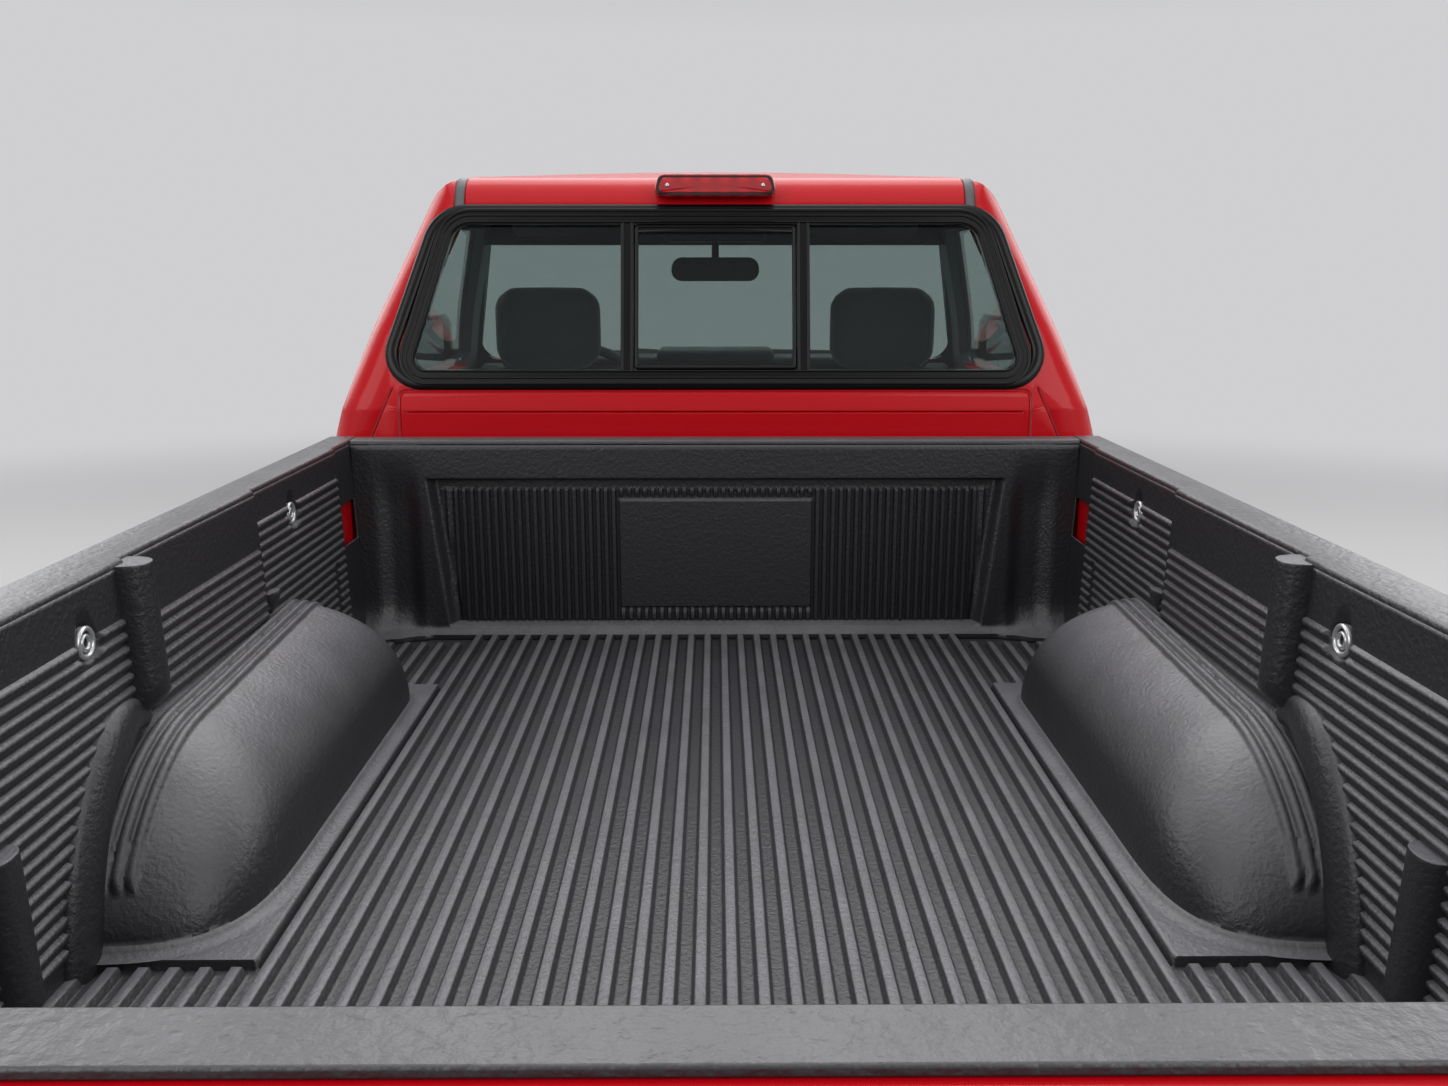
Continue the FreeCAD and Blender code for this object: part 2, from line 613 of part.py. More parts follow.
STEEL_HEAD = BED_FRONT - 34
BED_HEAD = BED_FRONT - 52
SKIRT = 26.0
LAMP_LOW = 690.0
LAMP_HIGH = 985.0
HUMP_FRONT = BED_FRONT + 350
HUMP_REAR = BED_FRONT + 1201


def hump(depth, rounded=False):
    """The wheel housing that stands in the bed: a long loaf, its inner edge rounded or cut off slanting."""
    top = BED_FLOOR + HUMP_HEIGHT
    foot = BED_FLOOR - HUMP_FOOT_SINK
    spread = HUMP_REAR_SLOPE * HUMP_FOOT_SINK / HUMP_HEIGHT
    along = [(HUMP_FRONT - 3, foot, 0), (HUMP_REAR + spread, foot, 0),
             (HUMP_REAR - HUMP_REAR_SLOPE, top, HUMP_REAR_ROUND), (HUMP_FRONT + 6, top, HUMP_FRONT_ROUND)]
    across = [(HUMP_HALF_GAP - 12, foot, 0), (WIDE, foot, 0), (WIDE, top + 99, 0), (HUMP_HALF_GAP + 42, top + 99, 0)]
    if not rounded:
        leg = HUMP_ROUND * (2 - math.sqrt(2))
        across = across[:2] + [(WIDE, top, 0), (HUMP_HALF_GAP + 28 + leg, top, 0), (HUMP_HALF_GAP + 18, top - leg, 0)]
    loaf = slab("X", inset(along, depth), 400, WIDE - 50)
    loaf = loaf.common(slab("Y", inset(across, depth), HUMP_FRONT - 50, HUMP_REAR + spread + 50))
    if not rounded:
        return loaf
    rim = [e for e in loaf.Edges if e.BoundBox.XMax < HUMP_HALF_GAP + 60 and e.BoundBox.ZMax > foot + depth + 1]
    return loaf.makeFillet(HUMP_ROUND - depth, rim)


def rail_plan(grow, low, high):
    """Everything outside the left rail's outer line, which draws in towards the tail."""
    front, rear = BED_HEAD - 5, GATE_BACK + 5
    ends = [RAIL_OUTER + grow - RAIL_TAPER * (y - BED_FRONT) / BED_LENGTH for y in (front, rear)]
    return slab("Z", [(ends[0], front, 0), (WIDE, front, 0), (WIDE, rear, 0), (ends[1], rear, 0)], low, high)


def bed_side():
    """One bed side, from the inner wall to the outer skin, with its wheel opening."""
    outer = slab("Y", whole(SECTION), BED_HEAD, GATE_BACK)
    wall = outer.common(block(TUB_HALF_WIDTH, WIDE, BED_HEAD, GATE_BACK, STEEL_FLOOR - 12, STEEL_RAIL))
    wall = wall.cut(rail_plan(2, SHOULDER + 6, 1200))
    skirt = outer.cut(slab("Y", inset(whole(SECTION), SKIRT), BED_HEAD - 1, GATE_BACK + 1))
    skirt = skirt.common(block(700, WIDE, BED_HEAD, GATE_BACK, SILL_BOTTOM + 70, STEEL_FLOOR))
    rim = Part.makeCylinder(ARCH_RADIUS + 30, 300, V(640, REAR_AXLE, HUB), V(1, 0, 0))
    rim = rim.common(slab("Y", inset(whole(SECTION), -9), BED_HEAD, GATE_BACK))
    rim = rim.cut(slab("Y", inset(whole(SECTION), FENDER_LIP), BED_HEAD, GATE_BACK))
    rim = rim.common(block(600, WIDE, BED_HEAD, GATE_BACK, SILL_BOTTOM + 70, 900))
    side = fused([wall, skirt, rim])
    return side.cut(tail_lamp_slab(0)).cut(arch_hole(REAR_AXLE))


def fuel_flap_gap():
    """The round-cornered line of the fuel flap in the left bed side."""
    flap = [(BED_FRONT + 150, 815, 25), (BED_FRONT + 300, 815, 25), (BED_FRONT + 300, 955, 25), (BED_FRONT + 150, 955, 25)]
    ring = slab("X", flap, 700, WIDE).cut(slab("X", inset(flap, 4), 700, WIDE))
    skin = slab("Y", inset(whole(SECTION), -5), BED_HEAD, GATE_BACK)
    return ring.common(skin.cut(slab("Y", inset(whole(SECTION), 3), BED_HEAD, GATE_BACK)))


def tail_lamp_slab(gap):
    return block(TUB_HALF_WIDTH + 20 + gap, WIDE, GATE_BACK - 70 + gap, GATE_BACK + 20,
                 LAMP_LOW + gap, LAMP_HIGH - gap)


def bed_box():
    """The steel bed: floor on cross sills, front wall, both sides and the wheel housings."""
    floor_low = STEEL_FLOOR - 12
    floor = block(-TUB_HALF_WIDTH, TUB_HALF_WIDTH, STEEL_HEAD - 10, BED_REAR - 6, floor_low, STEEL_FLOOR)
    head = block(-RAIL_OUTER + 30, RAIL_OUTER - 30, BED_HEAD, STEEL_HEAD, 560, STEEL_RAIL)
    pieces = [floor, head]
    for side in (-1, 1):
        x0, x1 = sorted((side * TUB_HALF_WIDTH, side * (TUB_HALF_WIDTH + 26)))
        ear = block(x0, x1, GATE_PIVOT_Y - 26, GATE_PIVOT_Y + 22, GATE_PIVOT_Z - 20, STEEL_FLOOR)
        pieces.append(ear.cut(rod(GATE_PIN + BORE_CLEARANCE, V(x0 - 5, GATE_PIVOT_Y, GATE_PIVOT_Z),
                                  V(x1 + 5, GATE_PIVOT_Y, GATE_PIVOT_Z))))
    for i in range(6):
        y = BED_HEAD + 60 + i * (BED_LENGTH - 60) / 5
        sill = block(-560, 560, y - 30, y + 30, 600, floor_low)
        pieces.append(sill)
    left = bed_side()
    housing = hump(HOUSING_INSET + SEAM)
    cavity = hump(HOUSING_INSET + 12)
    cavity = cavity.common(block(0, TUB_HALF_WIDTH + 40, -3000, 3000, 0, 1000))
    box = fused(pieces + [left.cut(fuel_flap_gap()), flipped(left)])
    box = fused([box, housing.common(block(0, TUB_HALF_WIDTH + 20, -3000, 3000, floor_low, 1000)),
                 flipped(housing).common(block(-TUB_HALF_WIDTH - 20, 0, -3000, 3000, floor_low, 1000))])
    box = box.cut(cavity).cut(flipped(cavity))
    reach = arch_hole(REAR_AXLE)
    return box.cut(reach.common(block(560, WIDE, -3000, 3000, 0, 760))).cut(
        reach.common(block(-WIDE, -560, -3000, 3000, 0, 760)))


POCKET = 26.0
HEAD_PANEL = [(536, BED_FLOOR + 8, 20), (571, BED_FLOOR + 315, 20)]
BADGE_HALF = 190.0
POST_Y = BED_FRONT + 965
SHORT_POST_Y = BED_FRONT + 1285
# wall stretch along the bed: start, end, inner face x at the rail, lowest rib, highest rib (above the floor)
WALL_STRETCHES = [
    (96, 545, 708, 22, 330),
    (545, 942, 700, 190, 292),
    (988, 1860, 690, 22, 314),
]


def floor_ribs():
    """Long ribs between the humps, and short ones before and behind each hump."""
    ribs = []
    for i in range(-FLOOR_RIB_COUNT // 2 - 6, FLOOR_RIB_COUNT // 2 + 6):
        x = (i + 0.5) * FLOOR_RIB_PITCH
        across = [(x - FLOOR_RIB_WIDTH / 2 - 2, BED_FLOOR - FLOOR_RIB_HEIGHT - 1, 0),
                  (x + FLOOR_RIB_WIDTH / 2 + 2, BED_FLOOR - FLOOR_RIB_HEIGHT - 1, 0),
                  (x + FLOOR_RIB_WIDTH / 2 - 2, BED_FLOOR, 0),
                  (x - FLOOR_RIB_WIDTH / 2 + 2, BED_FLOOR, 0)]
        if abs(i + 0.5) < FLOOR_RIB_COUNT / 2:
            runs = [(4, BED_LENGTH - 12)]
        else:
            runs = [(60, 300), (1240, BED_LENGTH - 12)]
        for start, end in runs:
            ribs.append(slab("Y", across, BED_FRONT + start, BED_FRONT + end))
    return ribs


def wall_ribs():
    """Level ribs on the left wall of the liner, stretch by stretch."""
    ribs = []
    for start, end, face, low, high in WALL_STRETCHES:
        for k in range(int((high - low) / WALL_RIB_PITCH) + 1):
            z = BED_FLOOR + high - k * WALL_RIB_PITCH
            x = face - WALL_LEAN * (RAIL_HEIGHT - z) / BED_DEPTH
            across = [(x - WALL_RIB_HEIGHT, z - 3, 0), (x + 3, z - 8, 0),
                      (x + 3, z + 8, 0), (x - WALL_RIB_HEIGHT, z + 3, 0)]
            ribs.append(slab("Y", across, BED_FRONT + start + 8, BED_FRONT + end - 8))
    return ribs


def liner_side():
    """The liner's left wall: leaning stretches, two posts, ribs, and the cap over the rail."""
    front = BED_FRONT - 10
    pieces = []
    for start, end, face, _, _ in WALL_STRETCHES:
        low = front if start < 100 else BED_FRONT + start - 48 * (start > 900)
        high = BED_REAR - 6 if end > 1800 else BED_FRONT + end
        across = [(face - WALL_LEAN, STEEL_FLOOR, 0), (TUB_HALF_WIDTH, STEEL_FLOOR, 0),
                  (TUB_HALF_WIDTH, STEEL_RAIL + 2, 0), (face, STEEL_RAIL + 2, 0)]
        pieces.append(slab("Y", across, low, high))
        pieces.append(block(face, WIDE, low, high, STEEL_RAIL, RAIL_HEIGHT).cut(rail_plan(6, 1000, 1200)))
    lip = rail_plan(2 + SEAM, SHOULDER + 6 + SEAM, RAIL_HEIGHT).cut(rail_plan(6, 1000, 1200))
    lip = lip.common(block(0, WIDE, BED_HEAD - 4, BED_REAR - 6, 0, 1200))
    post = slab("Z", [(TUB_HALF_WIDTH, POST_Y - 30, 0), (TUB_HALF_WIDTH, POST_Y + 30, 0),
                      (672, POST_Y + 22, 14), (672, POST_Y - 22, 14)], BED_FLOOR + 150, RAIL_HEIGHT)
    short_post = slab("Z", [(TUB_HALF_WIDTH, SHORT_POST_Y - 27, 0), (TUB_HALF_WIDTH, SHORT_POST_Y + 27, 0),
                            (662, SHORT_POST_Y + 18, 12), (662, SHORT_POST_Y - 18, 12)],
                      STEEL_FLOOR, BED_FLOOR + 181)
    return fused(pieces + [lip, post, short_post] + wall_ribs())


def liner_head():
    """The liner's front wall: a recessed field of upright ribs round a plain panel."""
    wall = block(-TUB_HALF_WIDTH, TUB_HALF_WIDTH, STEEL_HEAD, BED_FRONT, STEEL_FLOOR, RAIL_HEIGHT)
    cap = block(-WIDE, WIDE, BED_HEAD - 4, BED_FRONT, STEEL_RAIL, RAIL_HEIGHT)
    cap = fused([cap, block(-WIDE, WIDE, BED_HEAD - 4, BED_HEAD - SEAM, STEEL_RAIL - 20, RAIL_HEIGHT)])
    beyond = rail_plan(6, 900, 1200)
    cap = cap.cut(beyond).cut(flipped(beyond))
    field = slab("Y", whole(HEAD_PANEL), BED_FRONT - POCKET, BED_FRONT + 5)
    ribs = []
    count = int(2 * 528 / HEAD_RIB_PITCH)
    for i in range(count):
        x = (i - (count - 1) / 2) * HEAD_RIB_PITCH
        plan = [(x - 5.5, BED_FRONT - POCKET - 1, 0), (x + 5.5, BED_FRONT - POCKET - 1, 0),
                (x + 3, BED_FRONT - POCKET + 7, 0), (x - 3, BED_FRONT - POCKET + 7, 0)]
        ribs.append(slab("Z", plan, BED_FLOOR + 12, BED_FLOOR + 292))
    badge = block(-BADGE_HALF, BADGE_HALF, BED_FRONT - POCKET - 1, BED_FRONT - POCKET + 8,
                  BED_FLOOR + 50, BED_FLOOR + 265)
    return fused([wall.cut(field), cap, badge] + ribs)


def bed_liner():
    side = liner_side()
    floor = block(-TUB_HALF_WIDTH, TUB_HALF_WIDTH, STEEL_HEAD, BED_REAR - 6, STEEL_FLOOR,
                  BED_FLOOR - FLOOR_RIB_HEIGHT)
    liner = fused([floor, liner_head(), side, flipped(side)] + floor_ribs())
    loaf = hump(0, True).common(block(0, TUB_HALF_WIDTH, -3000, 3000, STEEL_FLOOR, 1000))
    plinth = block(HUMP_HALF_GAP - 20, TUB_HALF_WIDTH, HUMP_FRONT - 20, HUMP_REAR + 20, STEEL_FLOOR, BED_FLOOR - 1)
    liner = fused([liner, loaf, flipped(loaf), plinth, flipped(plinth)])
    under = hump(HOUSING_INSET)
    liner = liner.cut(under).cut(flipped(under))
    slot = block(690, TUB_HALF_WIDTH + 1, BED_FRONT + 4, BED_FRONT + 88, BED_FLOOR + 195, BED_FLOOR + 280)
    liner = liner.cut(slot).cut(flipped(slot))
    return max(liner.Solids, key=lambda s: s.Volume)


GATE_HALF = TUB_HALF_WIDTH - 7
GATE_FOOT = 598.0
GATE_PIVOT_Y = BED_REAR + 38
GATE_PIVOT_Z = 614.0
GATE_PIN = 10.0
GATE_CAP = 46.0


def tailgate():
    """The steel gate with a pressed-in outer field and a pocket for its handle."""
    side = [(BED_REAR + 8, GATE_FOOT, 8), (GATE_BACK, GATE_FOOT, 10), (GATE_BACK, STEEL_RAIL, 14),
            (BED_REAR + 8, STEEL_RAIL, 0)]
    gate = slab("X", side, -GATE_HALF, GATE_HALF)
    field = slab("Y", [(-600, 650, 30), (600, 650, 30), (600, 960, 30), (-600, 960, 30)],
                 GATE_BACK - 6, GATE_BACK + 5)
    pocket = slab("Y", [(-85, 905, 12), (85, 905, 12), (85, 950, 12), (-85, 950, 12)], GATE_BACK - 34, GATE_BACK + 5)
    pin = rod(GATE_PIN, V(-TUB_HALF_WIDTH - 24, GATE_PIVOT_Y, GATE_PIVOT_Z),
              V(TUB_HALF_WIDTH + 24, GATE_PIVOT_Y, GATE_PIVOT_Z))
    return fused([gate.cut(field).cut(pocket), pin])


def tailgate_liner():
    face = block(-GATE_HALF + 22, GATE_HALF - 22, BED_REAR, BED_REAR + 8, STEEL_FLOOR, STEEL_RAIL)
    cap = block(-GATE_HALF, GATE_HALF, BED_REAR, BED_REAR + GATE_CAP, STEEL_RAIL, RAIL_HEIGHT)
    ribs = []
    for k in range(9):
        z = BED_FLOOR + 40 + k * 34
        across = [(BED_REAR + 1, z - 8), (BED_REAR - 5, z - 4), (BED_REAR - 5, z + 4), (BED_REAR + 1, z + 8)]
        ribs.append(slab("X", [(y, zz, 0) for y, zz in across], -560, 560))
    return fused([face, cap] + ribs)


def tail_lamps():
    lens = slab("Y", whole(SECTION), GATE_BACK - 70, GATE_BACK).common(tail_lamp_slab(SEAM))
    return both(lens)


def high_stop_lamp():
    """The raised stop lamp over the rear window."""
    z = 1548.0
    pod = slab("Y", [(-125, z - 22, 14), (125, z - 22, 14), (114, z + 22, 18), (-114, z + 22, 18)],
               CAB_REAR - 190, CAB_REAR - 84)
    return pod.cut(cab_form(-SEAM)).common(block(-200, 200, CAB_REAR - 140, CAB_REAR, 0, 2000))


HITCH_HOLE = 13.0


def rear_bumper():
    """A step bumper: a bent face bar with a lowered step for the hitch ball, a tread plate, two brackets."""
    front = GATE_BACK + SHUT_GAP
    plan = [(-592, TAIL - 60, 60), (592, TAIL - 60, 60), (748, TAIL - 101, 0), (790, TAIL - 101, 0),
            (790, TAIL - 50, 45), (600, TAIL, 60), (-600, TAIL, 60), (-790, TAIL - 50, 45), (-790, TAIL - 101, 0),
            (-748, TAIL - 101, 0)]
    bar = slab("Z", plan, 420, 560)
    step = slab("Z", [(-300, TAIL - 70, 0), (300, TAIL - 70, 0), (260, TAIL + 10, 0), (-260, TAIL + 10, 0)], 524, 570)
    bar = bar.cut(step)
    bar = bar.cut(block(-240, 240, TAIL - 61, TAIL - 12, 410, 516))
    bar = bar.cut(rod(HITCH_HOLE, V(0, TAIL - 32, 500), V(0, TAIL - 32, 540)))
    back = TAIL - 60 - SEAM
    tread = slab("Z", [(-700, front, 0), (700, front, 0), (700, back - 29, 0), (592, back, 60 + SEAM), (300, back, 0),
                       (300, back - 16, 0), (-300, back - 16, 0), (-300, back, 0), (-592, back, 60 + SEAM),
                       (-700, back - 29, 0)], 548, 560)
    bracket = block(RAIL_IN, RAIL_OUT, FRAME_END + SEAM, TAIL - 60 - SEAM, 450, 514)
    return Part.makeCompound([bar, tread, both(bracket)])


# Running gear

RAIL_IN, RAIL_OUT = 345.0, 400.0
RAIL_LOW, RAIL_TOP = 400.0, 515.0
KICK = 45.0
FRAME_START = NOSE + 176
FRAME_END = TAIL - 175


def frame_rail(x0, x1):
    """One side rail, raised over the rear axle."""
    side = [(FRAME_START, RAIL_LOW + 30, 0), (CAB_FRONT - 250, RAIL_LOW, 0), (BED_FRONT - 50, RAIL_LOW, 0),
            (BED_FRONT + 250, RAIL_LOW + KICK, 0), (FRAME_END, RAIL_LOW + KICK, 0),
            (FRAME_END, RAIL_TOP + KICK, 0), (BED_FRONT + 250, RAIL_TOP + KICK, 0),
            (BED_FRONT - 50, RAIL_TOP, 0), (FRAME_START, RAIL_TOP, 0)]
    return slab("X", side, x0, x1)


def left_rail():
    """The left side rail with its body mounts, bed mounts, gearbox drop and spring hangers."""
    pieces = [frame_rail(RAIL_IN, RAIL_OUT)]
    pieces.append(block(RAIL_IN, RAIL_OUT, CRADLE_Y - 35, CRADLE_Y + 35, GEARBOX_LOW - 30, RAIL_LOW + 5))
    cab_mount = FLOOR_TOP - FLOOR_THICKNESS - SEAM
    for y in (CAB_FRONT + 80, CAB_REAR - 120):
        pieces.append(rod(34, V(RAIL_OUT - 30, y, RAIL_TOP - 20), V(RAIL_OUT - 30, y, cab_mount)))
    for i in (1, 3, 5):
        y = BED_HEAD + 60 + i * (BED_LENGTH - 60) / 5
        pieces.append(block(RAIL_OUT - 55, RAIL_OUT - 5, y - 25, y + 25, RAIL_TOP, 600 - SEAM))
    for y in (REAR_AXLE - SPRING_HALF, REAR_AXLE + SPRING_HALF):
        pieces.append(rod(12, V(RAIL_OUT - 10, y, SPRING_EYE_Z), V(530, y, SPRING_EYE_Z)))
        pieces.append(block(RAIL_OUT - 10, 436, y - 30, y + 30, SPRING_EYE_Z - 30, RAIL_TOP + KICK - 10))
    return fused(pieces)


def chassis_frame():
    """Two side rails, the crossmembers between them, and the beam and winch that carry the spare."""
    half = RAIL_IN - SEAM
    crossmembers = [(FRAME_START + 30, 30, 445, 495), (FRONT_AXLE, 90, 402, 440),
                    (CRADLE_Y, 35, GEARBOX_LOW - 30, GEARBOX_LOW - SEAM), (BED_FRONT - 30, 30, 455, 505),
                    (REAR_AXLE - 340, 30, 460, 510), (FRAME_END - 36, 30, 460, 510)]
    between = [block(-half, half, y - reach, y + reach, low, high) for y, reach, low, high in crossmembers]
    top = RAIL_TOP + KICK + SEAM
    seat = SPARE_Z - RIM_DISC + 12 - SEAM
    carrier = fused([block(-RAIL_OUT, RAIL_OUT, SPARE_Y - 35, SPARE_Y + 35, top, top + 25),
                     rod(12, V(0, SPARE_Y, SPARE_Z - 60), V(0, SPARE_Y, top + 5)),
                     rod(58, V(0, SPARE_Y, seat - 10), V(0, SPARE_Y, seat))])
    return Part.makeCompound([both(left_rail()), carrier] + between)


GEARBOX_LOW = 362.0
GEARBOX_END = CAB_REAR - 330
CRADLE_Y = GEARBOX_END - 90
SPARE_Y = REAR_AXLE + 682
SPARE_Z = 452.0
SPRING_HALF = 560.0
SPRING_EYE_Z = 420.0
SPRING_MID_Z = 282.0
SPRING_X0, SPRING_X1 = 445.0, 505.0


def leaf_springs():
    """Each spring: three stacked leaves, rolled eyes at both ends of the longest."""
    leaves = []
    for k in range(3):
        half = SPRING_HALF - 130 * k
        drop = (SPRING_EYE_Z - 12 - SPRING_MID_Z) * (half / SPRING_HALF) ** 2
        low = SPRING_MID_Z - 9 * (k + 1)
        arc = [Part.Arc(V(SPRING_X0, REAR_AXLE - half, low + drop), V(SPRING_X0, REAR_AXLE, low),
                        V(SPRING_X0, REAR_AXLE + half, low + drop)).toShape(),
               Part.LineSegment(V(SPRING_X0, REAR_AXLE + half, low + drop),
                                V(SPRING_X0, REAR_AXLE + half, low + drop + 10)).toShape(),
               Part.Arc(V(SPRING_X0, REAR_AXLE + half, low + drop + 10), V(SPRING_X0, REAR_AXLE, low + 10),
                        V(SPRING_X0, REAR_AXLE - half, low + drop + 10)).toShape(),
               Part.LineSegment(V(SPRING_X0, REAR_AXLE - half, low + drop + 10),
                                V(SPRING_X0, REAR_AXLE - half, low + drop)).toShape()]
        leaf = Part.Face(Part.Wire(arc)).extrude(V(SPRING_X1 - SPRING_X0, 0, 0))
        leaves.append(leaf)
    for y in (REAR_AXLE - SPRING_HALF, REAR_AXLE + SPRING_HALF):
        leaves.append(Part.makeCylinder(24, SPRING_X1 - SPRING_X0, V(SPRING_X0, y, SPRING_EYE_Z), V(1, 0, 0)))
    spring = fused(leaves)
    for y in (REAR_AXLE - SPRING_HALF, REAR_AXLE + SPRING_HALF):
        spring = spring.cut(rod(12 + SEAM, V(400, y, SPRING_EYE_Z), V(560, y, SPRING_EYE_Z)))
    return both(spring)


def rear_axle():
    """Tube, differential and drum backs, sitting on the springs by two saddles."""
    tube = rod(38, V(-592, REAR_AXLE, HUB), V(592, REAR_AXLE, HUB))
    bowl = Part.makeSphere(125, V(0, REAR_AXLE, HUB)).common(block(-110, 110, -3000, 3000, 0, 1000))
    neck = Part.makeCone(75, 45, 150, V(0, REAR_AXLE - 80, HUB), V(0, -1, 0))
    pieces = [tube, bowl, neck]
    for side in (-1, 1):
        pieces.append(rod(STUB_RADIUS, V(side * 580, REAR_AXLE, HUB), V(side * 735, REAR_AXLE, HUB)))
        pieces.append(rod(128, V(side * 592, REAR_AXLE, HUB), V(side * 640, REAR_AXLE, HUB)))
        x0, x1 = sorted((side * (SPRING_X0 - 8), side * (SPRING_X1 + 8)))
        pieces.append(block(x0, x1, REAR_AXLE - 55, REAR_AXLE + 55, SPRING_MID_Z + 2.5 + SEAM, HUB))
    return Part.makeCompound([fused(pieces), driveshaft()])


def driveshaft():
    tail = REAR_AXLE - 230 - SEAM
    tube = rod(34, V(0, GEARBOX_END + 25, 430), V(0, tail - 30, HUB + 2))
    yoke = rod(46, V(0, tail - 40, HUB), V(0, tail, HUB))
    slip = rod(40, V(0, GEARBOX_END, 430), V(0, GEARBOX_END + 40, 430))
    return fused([tube, yoke, slip])


def engine_block():
    """The engine as one plain block with its gearbox behind it, on two mounts."""
    engine = block(-210, 210, FRONT_AXLE - 210, CAB_FRONT - 60, 450, 830)
    gearbox = block(-110, 110, CAB_FRONT - 70, GEARBOX_END - SEAM, GEARBOX_LOW, 505)
    mounts = [block(-RAIL_IN + SEAM, RAIL_IN - SEAM, FRONT_AXLE - 50, FRONT_AXLE + 50, 455, 495)]
    fan = rod(165, V(0, FRONT_AXLE - 250, 660), V(0, FRONT_AXLE - 209, 660))
    return fused([engine, gearbox, fan] + mounts)


def exhaust():
    """Front pipe, silencer and tail pipe over the axle to a tip behind the right wheel."""
    x0, z = -225.0, 400.0
    points = [V(x0, CAB_FRONT + 60, z), V(x0, BED_FRONT + 330, z), V(x0, BED_FRONT + 530, 418),
              V(x0, REAR_AXLE + 130, 418), V(-520, REAR_AXLE + 360, 416), V(-560, REAR_AXLE + 480, 390),
              V(-742, REAR_AXLE + 610, 345)]
    path = bent_path(points, 60)
    pipe = pipe_along(path, 23)
    silencer = slab("Y", [(x0 - 95, z - 55, 50), (x0 + 95, z - 55, 50), (x0 + 95, z + 50, 50), (x0 - 95, z + 50, 50)],
                    BED_FRONT - 220, BED_FRONT + 250)
    hanger = block(x0 - 10, x0 + 10, BED_FRONT - 60, BED_FRONT, z + 40, 455 - SEAM)
    return fused([pipe, silencer, hanger])


def bent_path(points, radius):
    """Straight runs joined by tangent arcs of one radius."""
    edges = []
    start = points[0]
    for i in range(1, len(points) - 1):
        into = (points[i] - points[i - 1]).normalize()
        out = (points[i + 1] - points[i]).normalize()
        turn = into.getAngle(out)
        leg = radius * math.tan(turn / 2)
        first = points[i] - into * leg
        last = points[i] + out * leg
        inward = (out - into).normalize()
        middle = points[i] + inward * (radius / math.cos(turn / 2) - radius)
        edges.append(Part.LineSegment(start, first).toShape())
        edges.append(Part.Arc(first, middle, last).toShape())
        start = last
    edges.append(Part.LineSegment(start, points[-1]).toShape())
    return Part.Wire(edges)


def pipe_along(path, radius):
    first = path.Edges[0]
    start = first.valueAt(first.FirstParameter)
    tangent = first.tangentAt(first.FirstParameter)
    ring = Part.Wire([Part.makeCircle(radius, start, tangent)])
    pipe = path.makePipeShell([ring], True, False)
    if pipe.Volume < 0:
        pipe.reverse()
    return pipe


def fuel_tank():
    box = slab("Y", [(RAIL_OUT + 20, 340, 30), (660, 340, 40), (660, 520, 40), (RAIL_OUT + 20, 520, 30)],
               BED_FRONT - 460, BED_FRONT + 160)
    straps = [block(RAIL_OUT + SEAM, RAIL_OUT + 24, y, y + 40, 470, 505) for y in (BED_FRONT - 400, BED_FRONT + 60)]
    return fused([box] + straps)


def tyre(x, y, z=HUB):
    """A tyre of flat facets round its axle: tread, shoulders and bowed walls, on its bead seats."""
    half = TYRE_WIDTH / 2
    r = TYRE_RADIUS
    seat = (RIM_RADIUS + SEAM) / math.cos(math.pi / TYRE_FACETS)
    profile = [(-half + 26, r), (half - 26, r), (half, r - 42), (half - 18, seat + 2),
               (half - 30, seat), (-half + 30, seat), (-half + 18, seat + 2), (-half, r - 42)]
    rings = []
    for i in range(TYRE_FACETS):
        a = 2 * math.pi * i / TYRE_FACETS
        rings.append([V(x + u, y + v * math.cos(a), z + v * math.sin(a)) for u, v in profile])
    faces = []
    for i in range(TYRE_FACETS):
        near, far = rings[i - 1], rings[i]
        for k in range(len(profile)):
            corners = [near[k - 1], near[k], far[k], far[k - 1], near[k - 1]]
            faces.append(Part.Face(Part.makePolygon(corners)))
    solid = Part.Solid(Part.Shell(faces))
    if solid.Volume < 0:
        solid.reverse()
    return solid


RIM_DISC = 52.0
RIM_WINDOWS = 8


def rim(side, x, y, z=HUB):
    """A pressed wheel: barrel, dished disc with windows, hub bore."""
    half = TYRE_WIDTH / 2 - 22
    outer = RIM_RADIUS
    face = side * RIM_DISC
    profile = [(-half, outer), (half, outer), (half, outer - 14), (half - 20, outer - 22), (-half + 20, outer - 22),
               (-half, outer - 14)]
    barrel = Part.Face(Part.makePolygon([V(x + u, y, z + v) for u, v in profile + profile[:1]]))
    barrel = barrel.revolve(V(x, y, z), V(1, 0, 0), 360)
    disc_profile = [(face - side * 12, outer - 18), (face, outer - 18), (face + side * 6, 108), (face - side * 12, 62),
                    (face - side * 12, STUB_RADIUS + BORE_CLEARANCE), (face - side * 28, STUB_RADIUS + BORE_CLEARANCE),
                    (face - side * 28, 62), (face - side * 10, 108)]
    disc = Part.Face(Part.makePolygon([V(x + u, y, z + v) for u, v in disc_profile + disc_profile[:1]]))
    disc = disc.revolve(V(x, y, z), V(1, 0, 0), 360)
    for i in range(RIM_WINDOWS):
        a = 2 * math.pi * (i + 0.5) / RIM_WINDOWS
        hole = rod(21, V(x - 120, y + 138 * math.cos(a), z + 138 * math.sin(a)),
                   V(x + 120, y + 138 * math.cos(a), z + 138 * math.sin(a)))
        disc = disc.cut(hole)
    wheel = fused([barrel, disc])
    return wheel


